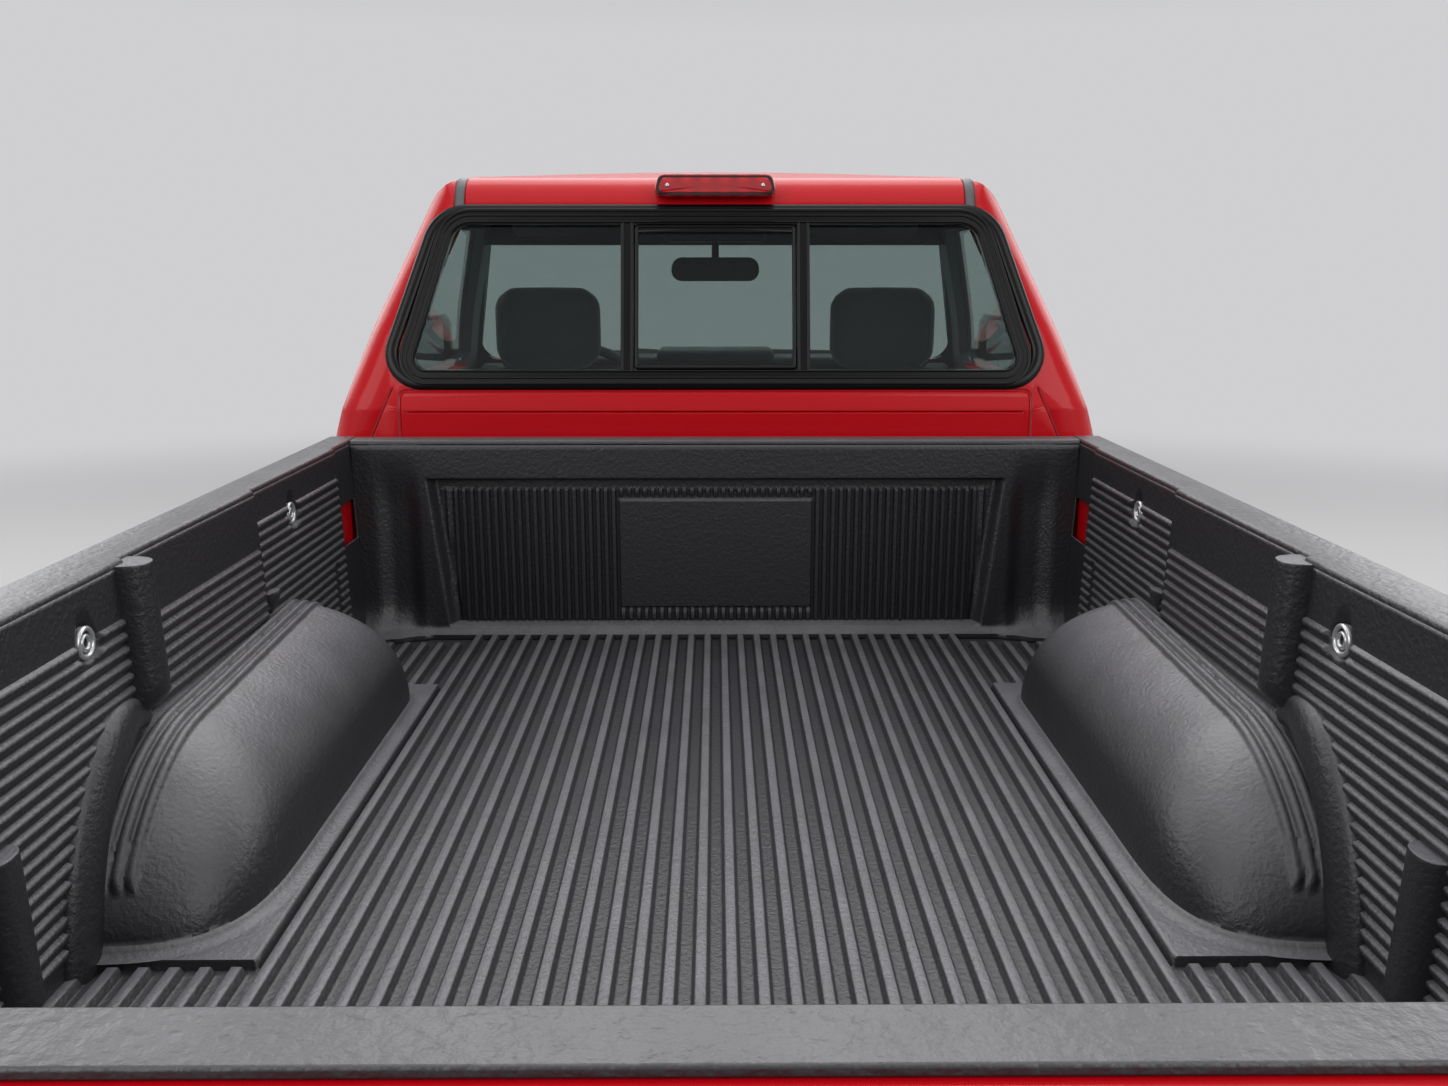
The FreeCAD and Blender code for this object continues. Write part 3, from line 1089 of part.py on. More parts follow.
def knuckle():
    """Left upright: stub axle, brake disc, ball-joint bosses and steering arm."""
    y = FRONT_AXLE
    pieces = [rod(STUB_RADIUS, V(600, y, HUB), V(735, y, HUB)),
              block(590, 640, y - 32, y + 32, HUB - 100, HUB + 100),
              rod(132, V(648, y, HUB), V(660, y, HUB)),
              rod(50, V(636, y, HUB), V(664, y, HUB)),
              rod(20, V(KINGPIN_X, y, HUB - 118), V(KINGPIN_X, y, HUB - 90)),
              rod(20, V(KINGPIN_X, y, HUB + 90), V(KINGPIN_X, y, HUB + 118)),
              block(560, 600, y + 20, y + 135, HUB - 40, HUB - 20)]
    return fused(pieces)


def front_suspension():
    """Left and right wishbones, their pivots on the frame, and the dampers."""
    y = FRONT_AXLE
    low = HUB - 118 - SEAM
    high = HUB + 118 + SEAM
    lower = slab("Z", [(RAIL_IN + 20, y - 140, 10), (KINGPIN_X + 22, y - 24, 20), (KINGPIN_X + 22, y + 24, 20),
                       (RAIL_IN + 20, y + 140, 10), (RAIL_IN + 20, y + 96, 0), (520, y + 10, 14), (520, y - 10, 14),
                       (RAIL_IN + 20, y - 96, 0)], low - 24, low)
    inner = RAIL_OUT + SEAM
    upper = slab("Z", [(inner, y - 112, 0), (KINGPIN_X + 20, y - 20, 18), (KINGPIN_X + 20, y + 20, 18),
                       (inner, y + 112, 0), (inner, y + 78, 0), (545, y + 8, 10), (545, y - 8, 10),
                       (inner, y - 78, 0)], high, high + 18)
    hangers = [block(RAIL_IN + 5, RAIL_IN + 45, y + dy - 25, y + dy + 25, low - 24, RAIL_LOW - SEAM)
               for dy in (-118, 118)]
    damper = rod(24, V(450, y, low - 12), V(450, y, high + 70))
    bracket = block(inner, 480, y - 30, y + 30, high + 40, high + 60)
    left = fused([lower, damper, upper, bracket] + hangers)
    return both(left)


# Inside the cab

SEAT_X = 371.0


def seats():
    """Two seats: cushion, leaning back and head restraint, each one solid on its base."""
    base_y = CAB_REAR - 480
    cushion = slab("X", [(base_y - 490, 640, 30), (base_y + 30, 620, 20), (base_y + 40, 760, 40),
                         (base_y - 480, 800, 50)], SEAT_X - 250, SEAT_X + 250)
    back = slab("X", [(base_y - 20, 690, 20), (base_y + 90, 690, 30), (base_y + 215, 1165, 40),
                      (base_y + 115, 1165, 40)], SEAT_X - 245, SEAT_X + 245)
    head = slab("Y", [(SEAT_X - 120, 1158, 30), (SEAT_X + 120, 1158, 30), (SEAT_X + 112, 1347, 60),
                      (SEAT_X - 112, 1347, 60)], base_y + 128, base_y + 225)
    foot = block(SEAT_X - 190, SEAT_X + 190, base_y - 420, base_y - 20, FLOOR_TOP + SEAM, 660)
    return both(fused([cushion, back, head, foot]))


def dashboard():
    """Dashboard across the cab under the windshield, with a low centre console."""
    side = [(CAB_FRONT + 62, 830, 0), (CAB_FRONT + 230, 830, 30), (CAB_FRONT + 262, 1010, 50),
            (CAB_FRONT + 215, 1122, 60), (CAB_FRONT + 90, 1096, 20), (CAB_FRONT + 62, 1060, 0)]
    top = slab("X", side, -700, 700)
    hump_side = [(CAB_FRONT + 90, 1060, 0), (CAB_FRONT + 240, 1060, 0), (CAB_FRONT + 230, 1140, 30),
                 (CAB_FRONT + 110, 1120, 20)]
    crown = slab("X", hump_side, -158, 158)
    binnacle = slab("X", hump_side, SEAT_X - 175, SEAT_X + 175)
    console = block(-90, 90, CAB_FRONT + 120, CAB_FRONT + 420, FLOOR_TOP + SEAM, 840)
    shape = fused([top, crown, binnacle, console]).common(cab_form(ROOF_SKIN + SEAM, WALL + 22))
    hub, axis = steering_column_axis()
    shape = shape.cut(rod(36 + SEAM, hub - axis * (175 + SEAM), hub))
    return Part.makeCompound([shape, steering_column()])


COLUMN_TILT = 27.0


def steering_column_axis():
    """The point at the steering wheel's hub and the unit vector along its column, to the driver."""
    tilt = math.radians(COLUMN_TILT)
    return V(SEAT_X, CAB_FRONT + 400, 1006), V(0, math.cos(tilt), math.sin(tilt))


def steering_wheel():
    hub, axis = steering_column_axis()
    ring = Part.makeTorus(178, 14, hub, axis)
    boss = rod(52, hub - axis * 32, hub + axis * 8)
    pieces = [ring, boss]
    across = V(1, 0, 0)
    up = axis.cross(across)
    for direction in (across, across * -1, up * (1 if up.z < 0 else -1)):
        pieces.append(rod(13, hub - axis * 8, hub - axis * 2 + direction * 176))
    return fused(pieces)


def steering_column():
    hub, axis = steering_column_axis()
    return rod(36, hub - axis * 175, hub - axis * (32 + SEAM))


def interior_mirror():
    """The inside mirror on a stalk from the header."""
    y = SCREEN_TOP + 60
    glass = slab("Y", [(-112, 1352, 26), (112, 1352, 26), (106, 1410, 26), (-106, 1410, 26)], y - 30, y)
    stalk = rod(9, V(0, y - 15, 1405), V(0, y - 25, 1600))
    return fused([glass, stalk.common(cab_form(ROOF_SKIN + SEAM, WALL))])


def spare_wheel():
    """The spare, lying flat under the bed on its winch plate."""
    lying = tyre(0, 0, 0)
    centre = rim(1, 0, 0, 0)
    wheel = Part.makeCompound([lying, centre])
    wheel.rotate(V(0, 0, 0), V(0, 1, 0), 90)
    wheel.translate(V(0, SPARE_Y, SPARE_Z))
    return wheel


NODES = {
    "cab_shell": cab_shell,
    "cab_glass": cab_glass,
    "rear_window_frame": rear_window_frame,
    "fenders_front": fenders,
    "nose_panel": nose_panel,
    "grille": grille,
    "headlamps": headlamps,
    "front_bumper": front_bumper,
    "engine_bay": engine_bay,
    "hood": hood,
    "bed_box": bed_box,
    "bed_liner": bed_liner,
    "tailgate": tailgate,
    "tailgate_liner": tailgate_liner,
    "tail_lamps": tail_lamps,
    "high_stop_lamp": high_stop_lamp,
    "rear_bumper": rear_bumper,
    "chassis_frame": chassis_frame,
    "leaf_springs": leaf_springs,
    "rear_axle": rear_axle,
    "engine_block": engine_block,
    "exhaust": exhaust,
    "fuel_tank": fuel_tank,
    "front_suspension": front_suspension,
    "seats": seats,
    "dashboard": dashboard,
    "steering_wheel": steering_wheel,
    "interior_mirror": interior_mirror,
    "spare_wheel": spare_wheel,
    "door_left": door,
    "door_glass_left": door_glass,
    "door_mirror_left": door_mirror,
    "knuckle_left": knuckle,
}
CORNERS = {"front_left": (1, FRONT_AXLE), "front_right": (-1, FRONT_AXLE),
           "rear_left": (1, REAR_AXLE), "rear_right": (-1, REAR_AXLE)}


def main():
    os.makedirs("parts", exist_ok=True)
    for name, make in NODES.items():
        shape = make()
        export(name, shape)
        if name.endswith("_left"):
            export(name[:-5] + "_right", flipped(shape))
    for corner, (side, axle) in CORNERS.items():
        export("tyre_" + corner, tyre(side * HALF_TRACK, axle))
        export("rim_" + corner, rim(side, side * HALF_TRACK, axle))


main()
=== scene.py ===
import json
import math

import bmesh
import bpy
import numpy as np
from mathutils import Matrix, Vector
from mathutils.bvhtree import BVHTree


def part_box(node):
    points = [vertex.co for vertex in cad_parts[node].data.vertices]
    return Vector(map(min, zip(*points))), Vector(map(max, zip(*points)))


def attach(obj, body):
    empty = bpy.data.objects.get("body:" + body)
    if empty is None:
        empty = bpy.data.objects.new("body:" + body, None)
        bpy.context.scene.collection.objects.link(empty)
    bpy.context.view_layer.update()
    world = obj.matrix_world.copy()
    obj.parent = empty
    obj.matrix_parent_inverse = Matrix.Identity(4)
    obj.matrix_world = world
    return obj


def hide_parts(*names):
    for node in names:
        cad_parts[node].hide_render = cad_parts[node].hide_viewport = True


bl_info = {
    "name": "Compact Pickup Truck",
    "version": (1, 0, 0),
    "blender": (4, 5, 0),
    "location": "View3D > Sidebar > Pickup",
    "description": "Dresses a two-door pickup with its moulded bed liner, cab, wheels and lamps",
    "category": "Add Mesh",
}

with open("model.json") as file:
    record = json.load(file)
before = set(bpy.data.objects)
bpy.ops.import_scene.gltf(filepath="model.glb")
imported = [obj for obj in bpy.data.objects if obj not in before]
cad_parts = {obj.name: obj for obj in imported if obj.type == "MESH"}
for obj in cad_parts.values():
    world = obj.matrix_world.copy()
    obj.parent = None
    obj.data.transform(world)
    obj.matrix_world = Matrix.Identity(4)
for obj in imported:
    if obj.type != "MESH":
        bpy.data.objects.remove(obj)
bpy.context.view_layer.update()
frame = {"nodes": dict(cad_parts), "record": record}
MM = 0.001
BODY_OF = {node: body for body, nodes in frame["record"]["behaviour"]["bodies"].items() for node in nodes}


def ends(node):
    """A CAD node's lowest and highest corners, in millimetres."""
    low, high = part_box(node)
    return np.array(low) / MM, np.array(high) / MM


# Places in millimetres, read from the frame

LINER_LOW, LINER_HIGH = ends("bed_liner")
CAP_DEPTH = 56.0
GATE_GAP = 6.0
LINER_SKIN = 7.0
RIB_HEIGHT = 11.0
BED_FRONT = LINER_LOW[1] + CAP_DEPTH
BED_LENGTH = LINER_HIGH[1] + GATE_GAP - BED_FRONT
RAIL_TOP = LINER_HIGH[2]
RAIL_OUTER = LINER_HIGH[0]
VALLEY = LINER_LOW[2] + LINER_SKIN
FLOOR_TOP = VALLEY + RIB_HEIGHT
CAB_LOW, CAB_HIGH = ends("cab_shell")
CAB_REAR = CAB_HIGH[1]
CAB_FRONT = CAB_LOW[1]


# Property groups: the sizes and colours a user would change


def length(name, description, millimetres):
    """A length property; its default is given in millimetres."""
    return bpy.props.FloatProperty(name=name, description=description, unit="LENGTH",
                                   default=millimetres * MM)


def colour(name, description, code):
    return bpy.props.StringProperty(name=name, description=description, default=code)


class PickupLinerSizes(bpy.types.PropertyGroup):
    rib_pitch: length("Rib pitch", "Distance between the floor ribs", 32.7)
    rib_count: bpy.props.IntProperty(name="Ribs", description="Long ribs between the wheel humps", default=30)
    rib_height: length("Rib height", "Height of the floor ribs", RIB_HEIGHT)
    wall_pitch: length("Wall rib pitch", "Distance between the level ribs of the walls", 16.2)
    wall_height: length("Wall rib height", "How far the wall ribs stand out", 6)
    head_pitch: length("Front rib pitch", "Distance between the upright ribs of the front wall", 15.6)
    hump_foot: length("Hump foot", "Half the gap between the wheel humps at the floor", 514)
    hump_height: length("Hump height", "Height of the wheel humps over the ribs", 187)


class PickupColours(bpy.types.PropertyGroup):
    paint: colour("Paint", "Body colour, as sRGB hex", "#BC0010")
    # Upright liner faces keep the liner tone; faces that look up take the scuffed tone, partly scuffing and
    # partly painted light from above, and the floor's valleys keep more of the dark tone as painted shade
    liner: colour("Liner", "Bed liner plastic on its upright faces, as sRGB hex", "#262629")
    scuff_and_top_light: colour("Scuffed liner", "Bed liner plastic where loads slide over it, as sRGB hex", "#6C6C71")
    glass: colour("Glass", "Tint of the window glass, as sRGB hex", "#B9C6C3")
    trim: colour("Trim", "Satin black trim, as sRGB hex", "#151517")
    cloth: colour("Cloth", "Seat cloth, as sRGB hex", "#2D2E32")


def sizes():
    return bpy.context.scene.pickup_liner


def colours():
    return bpy.context.scene.pickup_colours


# Surfaces worked out with numpy


def grid(points, wrap_rows=False, wrap_cols=False, flip=False):
    """Points on a rows x columns grid, and the quads that join each to its next row and column."""
    rows, cols, _ = points.shape
    index = np.arange(rows * cols).reshape(rows, cols)
    if wrap_rows:
        index = np.vstack([index, index[:1]])
    if wrap_cols:
        index = np.hstack([index, index[:, :1]])
    quads = np.stack([index[:-1, :-1], index[1:, :-1], index[1:, 1:], index[:-1, 1:]], axis=-1).reshape(-1, 4)
    if flip:
        quads = quads[:, ::-1]
    return points.reshape(-1, 3), quads


def fan(ring, flip=False):
    """Closes a ring of points with a fan of quads folded onto its middle point."""
    middle = np.repeat(ring.mean(axis=0)[None], len(ring), axis=0)
    return grid(np.stack([ring, middle]), wrap_cols=True, flip=flip)


def mirrored(patches):
    """The same patches on the other side of the truck, their quads turned to face outwards."""
    return [(points * np.array([-1.0, 1.0, 1.0]), quads[:, ::-1]) for points, quads in patches]


def smooth_step(value, start, end):
    """0 before start and 1 after end, with an easy curve between: 3t^2 - 2t^3."""
    t = np.clip((value - start) / (end - start), 0, 1)
    return t * t * (3 - 2 * t)


def between(value, low, high, ease):
    """1 between low and high, falling to 0 over the distance ease outside them."""
    return smooth_step(value, low - ease, low) * (1 - smooth_step(value, high, high + ease))


def normals(points):
    """Unit normals of a grid, from the cross product of its two directions."""
    along = np.gradient(points, axis=0)
    across = np.gradient(points, axis=1)
    out = np.cross(along, across)
    return out / np.maximum(np.linalg.norm(out, axis=-1, keepdims=True), 1e-9)


def rounded(corners, steps=5):
    """A closed outline through corners (u, v, radius), each turned by an arc of that radius."""
    points = []
    count = len(corners)
    for i in range(count):
        before = np.array(corners[i - 1][:2], float)
        here = np.array(corners[i][:2], float)
        after = np.array(corners[(i + 1) % count][:2], float)
        radius = corners[i][2]
        into = (here - before) / np.linalg.norm(here - before)
        out = (after - here) / np.linalg.norm(after - here)
        turn = math.atan2(into[0] * out[1] - into[1] * out[0], into @ out)
        if radius <= 0 or abs(turn) < 1e-3:
            points.append(here[None])
            continue
        leg = radius * math.tan(abs(turn) / 2)
        angle = abs(turn) * np.linspace(0, 1, steps + 1)[:, None]
        side = np.array([-into[1], into[0]]) * np.sign(turn)
        start = here - into * leg
        points.append(start + radius * (np.sin(angle) * into + (1 - np.cos(angle)) * side))
    return np.vstack(points)


def box_outline(u, v, half_u, half_v, radius):
    """A rectangle with round corners about (u, v)."""
    return rounded([(u - half_u, v - half_v, radius), (u + half_u, v - half_v, radius),
                    (u + half_u, v + half_v, radius), (u - half_u, v + half_v, radius)])


def curve_through(knots, count):
    """A uniform cubic B-spline that starts and ends at the outer knots, at count even parameters."""
    knots = np.asarray(knots, float)
    padded = np.vstack([2 * knots[0] - knots[1], knots, 2 * knots[-1] - knots[-2]])
    t = np.linspace(0, len(knots) - 1 - 1e-6, count)
    i = t.astype(int)
    f = (t - i)[:, None]
    basis = ((1 - f) ** 3 / 6, (3 * f ** 3 - 6 * f ** 2 + 4) / 6,
             (-3 * f ** 3 + 3 * f ** 2 + 3 * f + 1) / 6, f ** 3 / 6)
    return sum(padded[np.minimum(i + k, len(padded) - 1)] * basis[k] for k in range(4))


def sweep(path, section, up=(0, 0, 1), closed=False, flip=False, grow=None):
    """Carries a closed section (side, up) along a path; the side is square to the path and to up. The section
    may grow along the path."""
    path = np.asarray(path, float)
    if closed:
        along = np.roll(path, -1, axis=0) - np.roll(path, 1, axis=0)
    else:
        along = np.gradient(path, axis=0)
    along /= np.linalg.norm(along, axis=1, keepdims=True)
    side = np.cross(along, np.array(up, float))
    side /= np.linalg.norm(side, axis=1, keepdims=True)
    top = np.cross(side, along)
    scale = np.ones(len(path)) if grow is None else grow
    section = np.asarray(section, float)[None] * scale[:, None, None]
    points = path[:, None] + section[..., :1] * side[:, None] + section[..., 1:] * top[:, None]
    made = [grid(points, wrap_rows=closed, wrap_cols=True, flip=flip)]
    if not closed:
        made += [fan(points[0], flip=not flip), fan(points[-1], flip=flip)]
    return made


def circle(radius, sides, flat=1.0):
    """A ring of points of one radius, as (side, up), its height scaled by flat."""
    a = np.arange(sides) * 2 * math.pi / sides
    return np.stack([np.cos(a), np.sin(a) * flat], axis=1) * radius


def bead(width, height, foot=2.0, sides=7):
    """The section of a strip: half an ellipse on a foot that stands in the surface."""
    a = np.linspace(0, math.pi, sides)
    arch = np.stack([np.cos(a) * width / 2, np.sin(a) * height], axis=1)
    return np.vstack([arch, [[-width / 2, -foot], [width / 2, -foot]]])


def lathe(profile, centre, axis="X", steps=64, flip=False):
    """Turns a profile of (along, radius) about an axis through centre."""
    profile = np.asarray(profile, float)
    a = np.arange(steps) * 2 * math.pi / steps
    along = np.repeat(profile[:, :1], steps, axis=1)
    first = profile[:, 1:] * np.cos(a)
    second = profile[:, 1:] * np.sin(a)
    order = {"X": (along, first, second), "Y": (second, along, first), "Z": (first, second, along)}[axis]
    return grid(np.stack(order, axis=-1) + np.asarray(centre, float), wrap_cols=True, flip=flip)


def plate(outline, put, low, high, edge=1.0):
    """A flat plate: an outline (u, v) put in place at two depths, its front edge eased towards its middle."""
    outline = np.asarray(outline, float)
    middle = outline.mean(axis=0)
    reach = np.abs(outline - middle).max(axis=0)
    inner = middle + (outline - middle) * (1 - edge / reach)
    rows = np.stack([put(outline, low), put(outline, high - edge), put(inner, high)])
    return [grid(rows, wrap_cols=True), fan(rows[0], flip=True), fan(rows[-1])]


def put_y(outline, depth):
    """Outline (x, z) at y = depth."""
    return np.stack([outline[:, 0], np.full(len(outline), float(depth)), outline[:, 1]], axis=1)


def soft_box(low, high, radius, steps=3):
    """A box whose edges and corners are rounded: each face's points are pushed out by the radius from a
    smaller box inside it."""
    low, high = np.array(low, float), np.array(high, float)
    radius = min(radius, *((high - low) / 2 - 1e-3))
    patches = []
    for axis in range(3):
        u, v = (axis + 1) % 3, (axis + 2) % 3
        line = []
        for k in (u, v):
            ease = radius * np.tan(np.linspace(-math.pi / 4, 0, steps + 1))
            line.append(np.concatenate([low[k] + radius + ease, high[k] - radius - ease[::-1]]))
        for end, flip in ((low, True), (high, False)):
            points = np.empty((len(line[0]), len(line[1]), 3))
            points[..., u] = line[0][:, None]
            points[..., v] = line[1][None]
            points[..., axis] = end[axis]
            core = np.clip(points, low + radius, high - radius)
            out = points - core
            out /= np.maximum(np.linalg.norm(out, axis=-1, keepdims=True), 1e-9)
            patches.append(grid(core + out * radius, flip=flip))
    return patches


def piece(name, patches, material, body="body", slot=None, merge=0.02, sharp=40, solid=0.0, outward=False):
    """Joins patches into one object: points in millimetres, merged where they meet, smooth up to an angle."""
    points = np.vstack([p for p, _ in patches])
    offsets = np.cumsum([0] + [len(p) for p, _ in patches[:-1]])
    quads = np.vstack([q + o for (_, q), o in zip(patches, offsets)])
    mesh = bpy.data.meshes.new(name)
    mesh.vertices.add(len(points))
    mesh.vertices.foreach_set("co", (points * MM).astype(np.float32).ravel())
    mesh.loops.add(quads.size)
    mesh.loops.foreach_set("vertex_index", quads.astype(np.int32).ravel())
    mesh.polygons.add(len(quads))
    mesh.polygons.foreach_set("loop_start", np.arange(0, quads.size, 4, dtype=np.int32))
    mesh.update(calc_edges=True)
    mesh.validate()
    work = bmesh.new()
    work.from_mesh(mesh)
    bmesh.ops.remove_doubles(work, verts=work.verts, dist=merge * MM)
    bmesh.ops.dissolve_degenerate(work, edges=work.edges, dist=1e-7)
    if outward:
        bmesh.ops.recalc_face_normals(work, faces=work.faces)
    work.to_mesh(mesh)
    work.free()
    mesh.shade_smooth()
    mesh.set_sharp_from_angle(angle=math.radians(sharp))
    made = bpy.data.objects.new(name, mesh)
    bpy.context.scene.collection.objects.link(made)
    mesh.materials.append(material)
    if solid:
        wall = made.modifiers.new("wall", "SOLIDIFY")
        wall.thickness = solid * MM
        wall.offset = -1
    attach(made, body)
    return made


def dress(node, material, edge=0.0, sharp=28):
    """A joined and smoothed copy of a CAD node, its hard edges eased by a small bevel, shown in its place."""
    source = frame["nodes"][node]
    mesh = source.data.copy()
    work = bmesh.new()
    work.from_mesh(mesh)
    bmesh.ops.remove_doubles(work, verts=work.verts, dist=0.02 * MM)
    bmesh.ops.dissolve_limit(work, angle_limit=math.radians(0.4), verts=work.verts, edges=work.edges)
    work.to_mesh(mesh)
    work.free()
    mesh.shade_smooth()
    mesh.set_sharp_from_angle(angle=math.radians(sharp))
    mesh.materials.clear()
    mesh.materials.append(material)
    made = bpy.data.objects.new(node + "_skin", mesh)
    bpy.context.scene.collection.objects.link(made)
    if edge:
        ease = made.modifiers.new("ease", "BEVEL")
        ease.width = edge * MM
        ease.segments = 2
        ease.limit_method = "ANGLE"
        ease.angle_limit = math.radians(38)
        ease.use_clamp_overlap = False
        ease.harden_normals = False
    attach(made, BODY_OF[node])
    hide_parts(node)
    return made


def line_inside(made, centre, material):
    """Gives the faces that look towards a centre point a second finish, as a cab's lining."""
    mesh = made.data
    mesh.materials.append(material)
    count = len(mesh.polygons)
    place = np.empty(count * 3, np.float32)
    facing = np.empty(count * 3, np.float32)
    mesh.polygons.foreach_get("center", place)
    mesh.polygons.foreach_get("normal", facing)
    toward = np.array(centre) * MM - place.reshape(-1, 3)
    inward = (toward * facing.reshape(-1, 3)).sum(axis=1) / np.linalg.norm(toward, axis=1) > 0.12
    mesh.polygons.foreach_set("material_index", inward.astype(np.int32))


def skin_of(node):
    """A search tree over a CAD node's surface, for trim that lies on it."""
    source = frame["nodes"][node]
    corners = [source.matrix_world @ point.co for point in source.data.vertices]
    return BVHTree.FromPolygons(corners, [face.vertices[:] for face in source.data.polygons])


def on_skin(tree, starts, toward, proud=0.0):
    """The points where rays from the starts first meet the surface, moved out along its normals."""
    found = []
    for start in np.asarray(starts, float):
        place, normal, _, _ = tree.ray_cast(Vector(start * MM), Vector(toward))
        if place is not None:
            found.append(np.array(place) / MM + np.array(normal) * proud)
    return np.array(found)


# Materials


def linear(code):
    """An sRGB hex colour as linear RGBA."""
    parts = np.array([int(code[i:i + 2], 16) for i in (1, 3, 5)]) / 255
    low = parts <= 0.04045
    value = np.where(low, parts / 12.92, ((parts + 0.055) / 1.055) ** 2.4)
    return (*value.tolist(), 1.0)


def add(tree, kind, settings=None, links=None):
    """Adds one node: settings are its attributes or input values, links name the socket behind an input."""
    made = tree.nodes.new(kind)
    for key, value in (settings or {}).items():
        if isinstance(key, int) or key in made.inputs:
            made.inputs[key].default_value = value
        else:
            setattr(made, key, value)
    for key, socket in (links or {}).items():
        tree.links.new(socket, made.inputs[key])
    return made


def blank(name):
    """A new material: itself, its tree, its Principled shader and the outputs of its coordinates."""
    material = bpy.data.materials.new(name)
    material.use_nodes = True
    tree = material.node_tree
    place = add(tree, "ShaderNodeTexCoord")
    return material, tree, tree.nodes["Principled BSDF"], place.outputs


def blend(tree, factor, first, second):
    """Mixes two colours, each a hex code or a socket, by a factor socket."""
    made = add(tree, "ShaderNodeMix", {"data_type": "RGBA"}, {0: factor})
    for slot, value in ((6, first), (7, second)):
        if isinstance(value, str):
            made.inputs[slot].default_value = linear(value)
        else:
            tree.links.new(value, made.inputs[slot])
    return made.outputs[2]


def settle(shader, values):
    """Sets the shader's inputs that are the same all over the surface."""
    for key, value in values.items():
        shader.inputs[key].default_value = value


def finish(name, code, second, roughness, metallic=0.0, mottle=60.0, grain=1.5, depth=0.05, coat=0.0,
           sheen=0.0, specular=0.5):
    """A solid finish: two close tones mottled over a real size in millimetres, and a fine grain in relief."""
    material, tree, shader, place = blank(name)
    settle(shader, {"Metallic": metallic, "Coat Weight": coat, "Sheen Weight": sheen,
                    "Specular IOR Level": specular})
    cloud = add(tree, "ShaderNodeTexNoise", {"Scale": 1000 / mottle, "Detail": 3.0},
                {"Vector": place["Object"]})
    tree.links.new(blend(tree, cloud.outputs["Fac"], code, second), shader.inputs["Base Color"])
    spread = add(tree, "ShaderNodeMapRange",
                 {"To Min": roughness * 0.85, "To Max": min(1.0, roughness * 1.15)},
                 {"Value": cloud.outputs["Fac"]})
    tree.links.new(spread.outputs["Result"], shader.inputs["Roughness"])
    if depth:
        fine = add(tree, "ShaderNodeTexNoise", {"Scale": 1000 / grain, "Detail": 2.0},
                   {"Vector": place["Object"]})
        relief = add(tree, "ShaderNodeBump", {"Strength": 0.6, "Distance": depth * MM},
                     {"Height": fine.outputs["Fac"]})
        tree.links.new(relief.outputs["Normal"], shader.inputs["Normal"])
    return material


def red_enamel():
    """Solid red enamel under clear lacquer: even colour, sharp coat reflections, faint orange peel."""
    material = finish("red_enamel", colours().paint, "#B3000E", 0.4, mottle=400, grain=2.2, depth=0.004,
                      coat=0.3, specular=0.2)
    settle(material.node_tree.nodes["Principled BSDF"], {"Coat Roughness": 0.03, "Coat IOR": 1.4})
    return material


def moulded_polyethylene(name, grain, depth, pale_wear_and_light_tone):
    """Black polyethylene from a grained mould: leathery wrinkles of a size in millimetres with pebbles
    between. Where it looks up it is painted paler, partly as scuffing by loads and partly as painted light
    from above; in the floor's valleys it stays darker, as painted shade."""
    material, tree, shader, place = blank(name)
    warp = add(tree, "ShaderNodeTexNoise", {"Scale": 60.0, "Detail": 1.0}, {"Vector": place["Object"]})
    push = add(tree, "ShaderNodeMix", {"data_type": "VECTOR", "Factor": 0.012},
               {4: place["Object"], 5: warp.outputs["Color"]})
    wrinkle = add(tree, "ShaderNodeTexVoronoi", {"Scale": 1000 / grain, "feature": "SMOOTH_F1"},
                  {"Vector": push.outputs[1]})
    pebble = add(tree, "ShaderNodeTexNoise", {"Scale": 2400 / grain, "Detail": 2.0},
                 {"Vector": place["Object"]})
    height = add(tree, "ShaderNodeMath", {"operation": "MULTIPLY_ADD", 1: 0.7},
                 {0: pebble.outputs["Fac"], 2: wrinkle.outputs["Distance"]})
    relief = add(tree, "ShaderNodeBump", {"Strength": 0.6, "Distance": depth * MM},
                 {"Height": height.outputs[0]})
    tree.links.new(relief.outputs["Normal"], shader.inputs["Normal"])
    facing = add(tree, "ShaderNodeSeparateXYZ", {}, {0: place["Normal"]})
    level = add(tree, "ShaderNodeSeparateXYZ", {}, {0: place["Object"]})
    # Painted light from above, with scuffing: the more a face looks up, the more of the paler tone it takes
    up = add(tree, "ShaderNodeMapRange", {"From Min": 0.35, "From Max": 0.98}, {"Value": facing.outputs["Z"]})
    # Painted shade: low in the floor's valleys the paler tone fades towards the dark one
    crest_wear_and_valley_shade = add(tree, "ShaderNodeMapRange",
                {"From Min": (VALLEY + 0.5) * MM, "From Max": (FLOOR_TOP - 0.5) * MM, "To Min": 0.22},
                {"Value": level.outputs["Z"]})
    cloud = add(tree, "ShaderNodeTexNoise", {"Scale": 14.0, "Detail": 5.0}, {"Vector": place["Object"]})
    patchy = add(tree, "ShaderNodeMapRange", {"From Min": 0.3, "From Max": 0.7, "To Min": 0.7},
                 {"Value": cloud.outputs["Fac"]})
    # Mask for the paler tone: up-facing, higher on the ribs, in random patches; painted top light and valley
    # shade as well as scuffing
    wear_and_painted_light = up
    for share in (crest_wear_and_valley_shade, patchy):
        wear_and_painted_light = add(tree, "ShaderNodeMath", {"operation": "MULTIPLY"},
                   {0: wear_and_painted_light.outputs[0], 1: share.outputs[0]})
    tree.links.new(blend(tree, wear_and_painted_light.outputs[0], colours().liner, pale_wear_and_light_tone), shader.inputs["Base Color"])
    settle(shader, {"Specular IOR Level": 0.55})
    gloss = add(tree, "ShaderNodeMapRange", {"To Min": 0.42, "To Max": 0.4}, {"Value": wear_and_painted_light.outputs[0]})
    tree.links.new(gloss.outputs["Result"], shader.inputs["Roughness"])
    return material


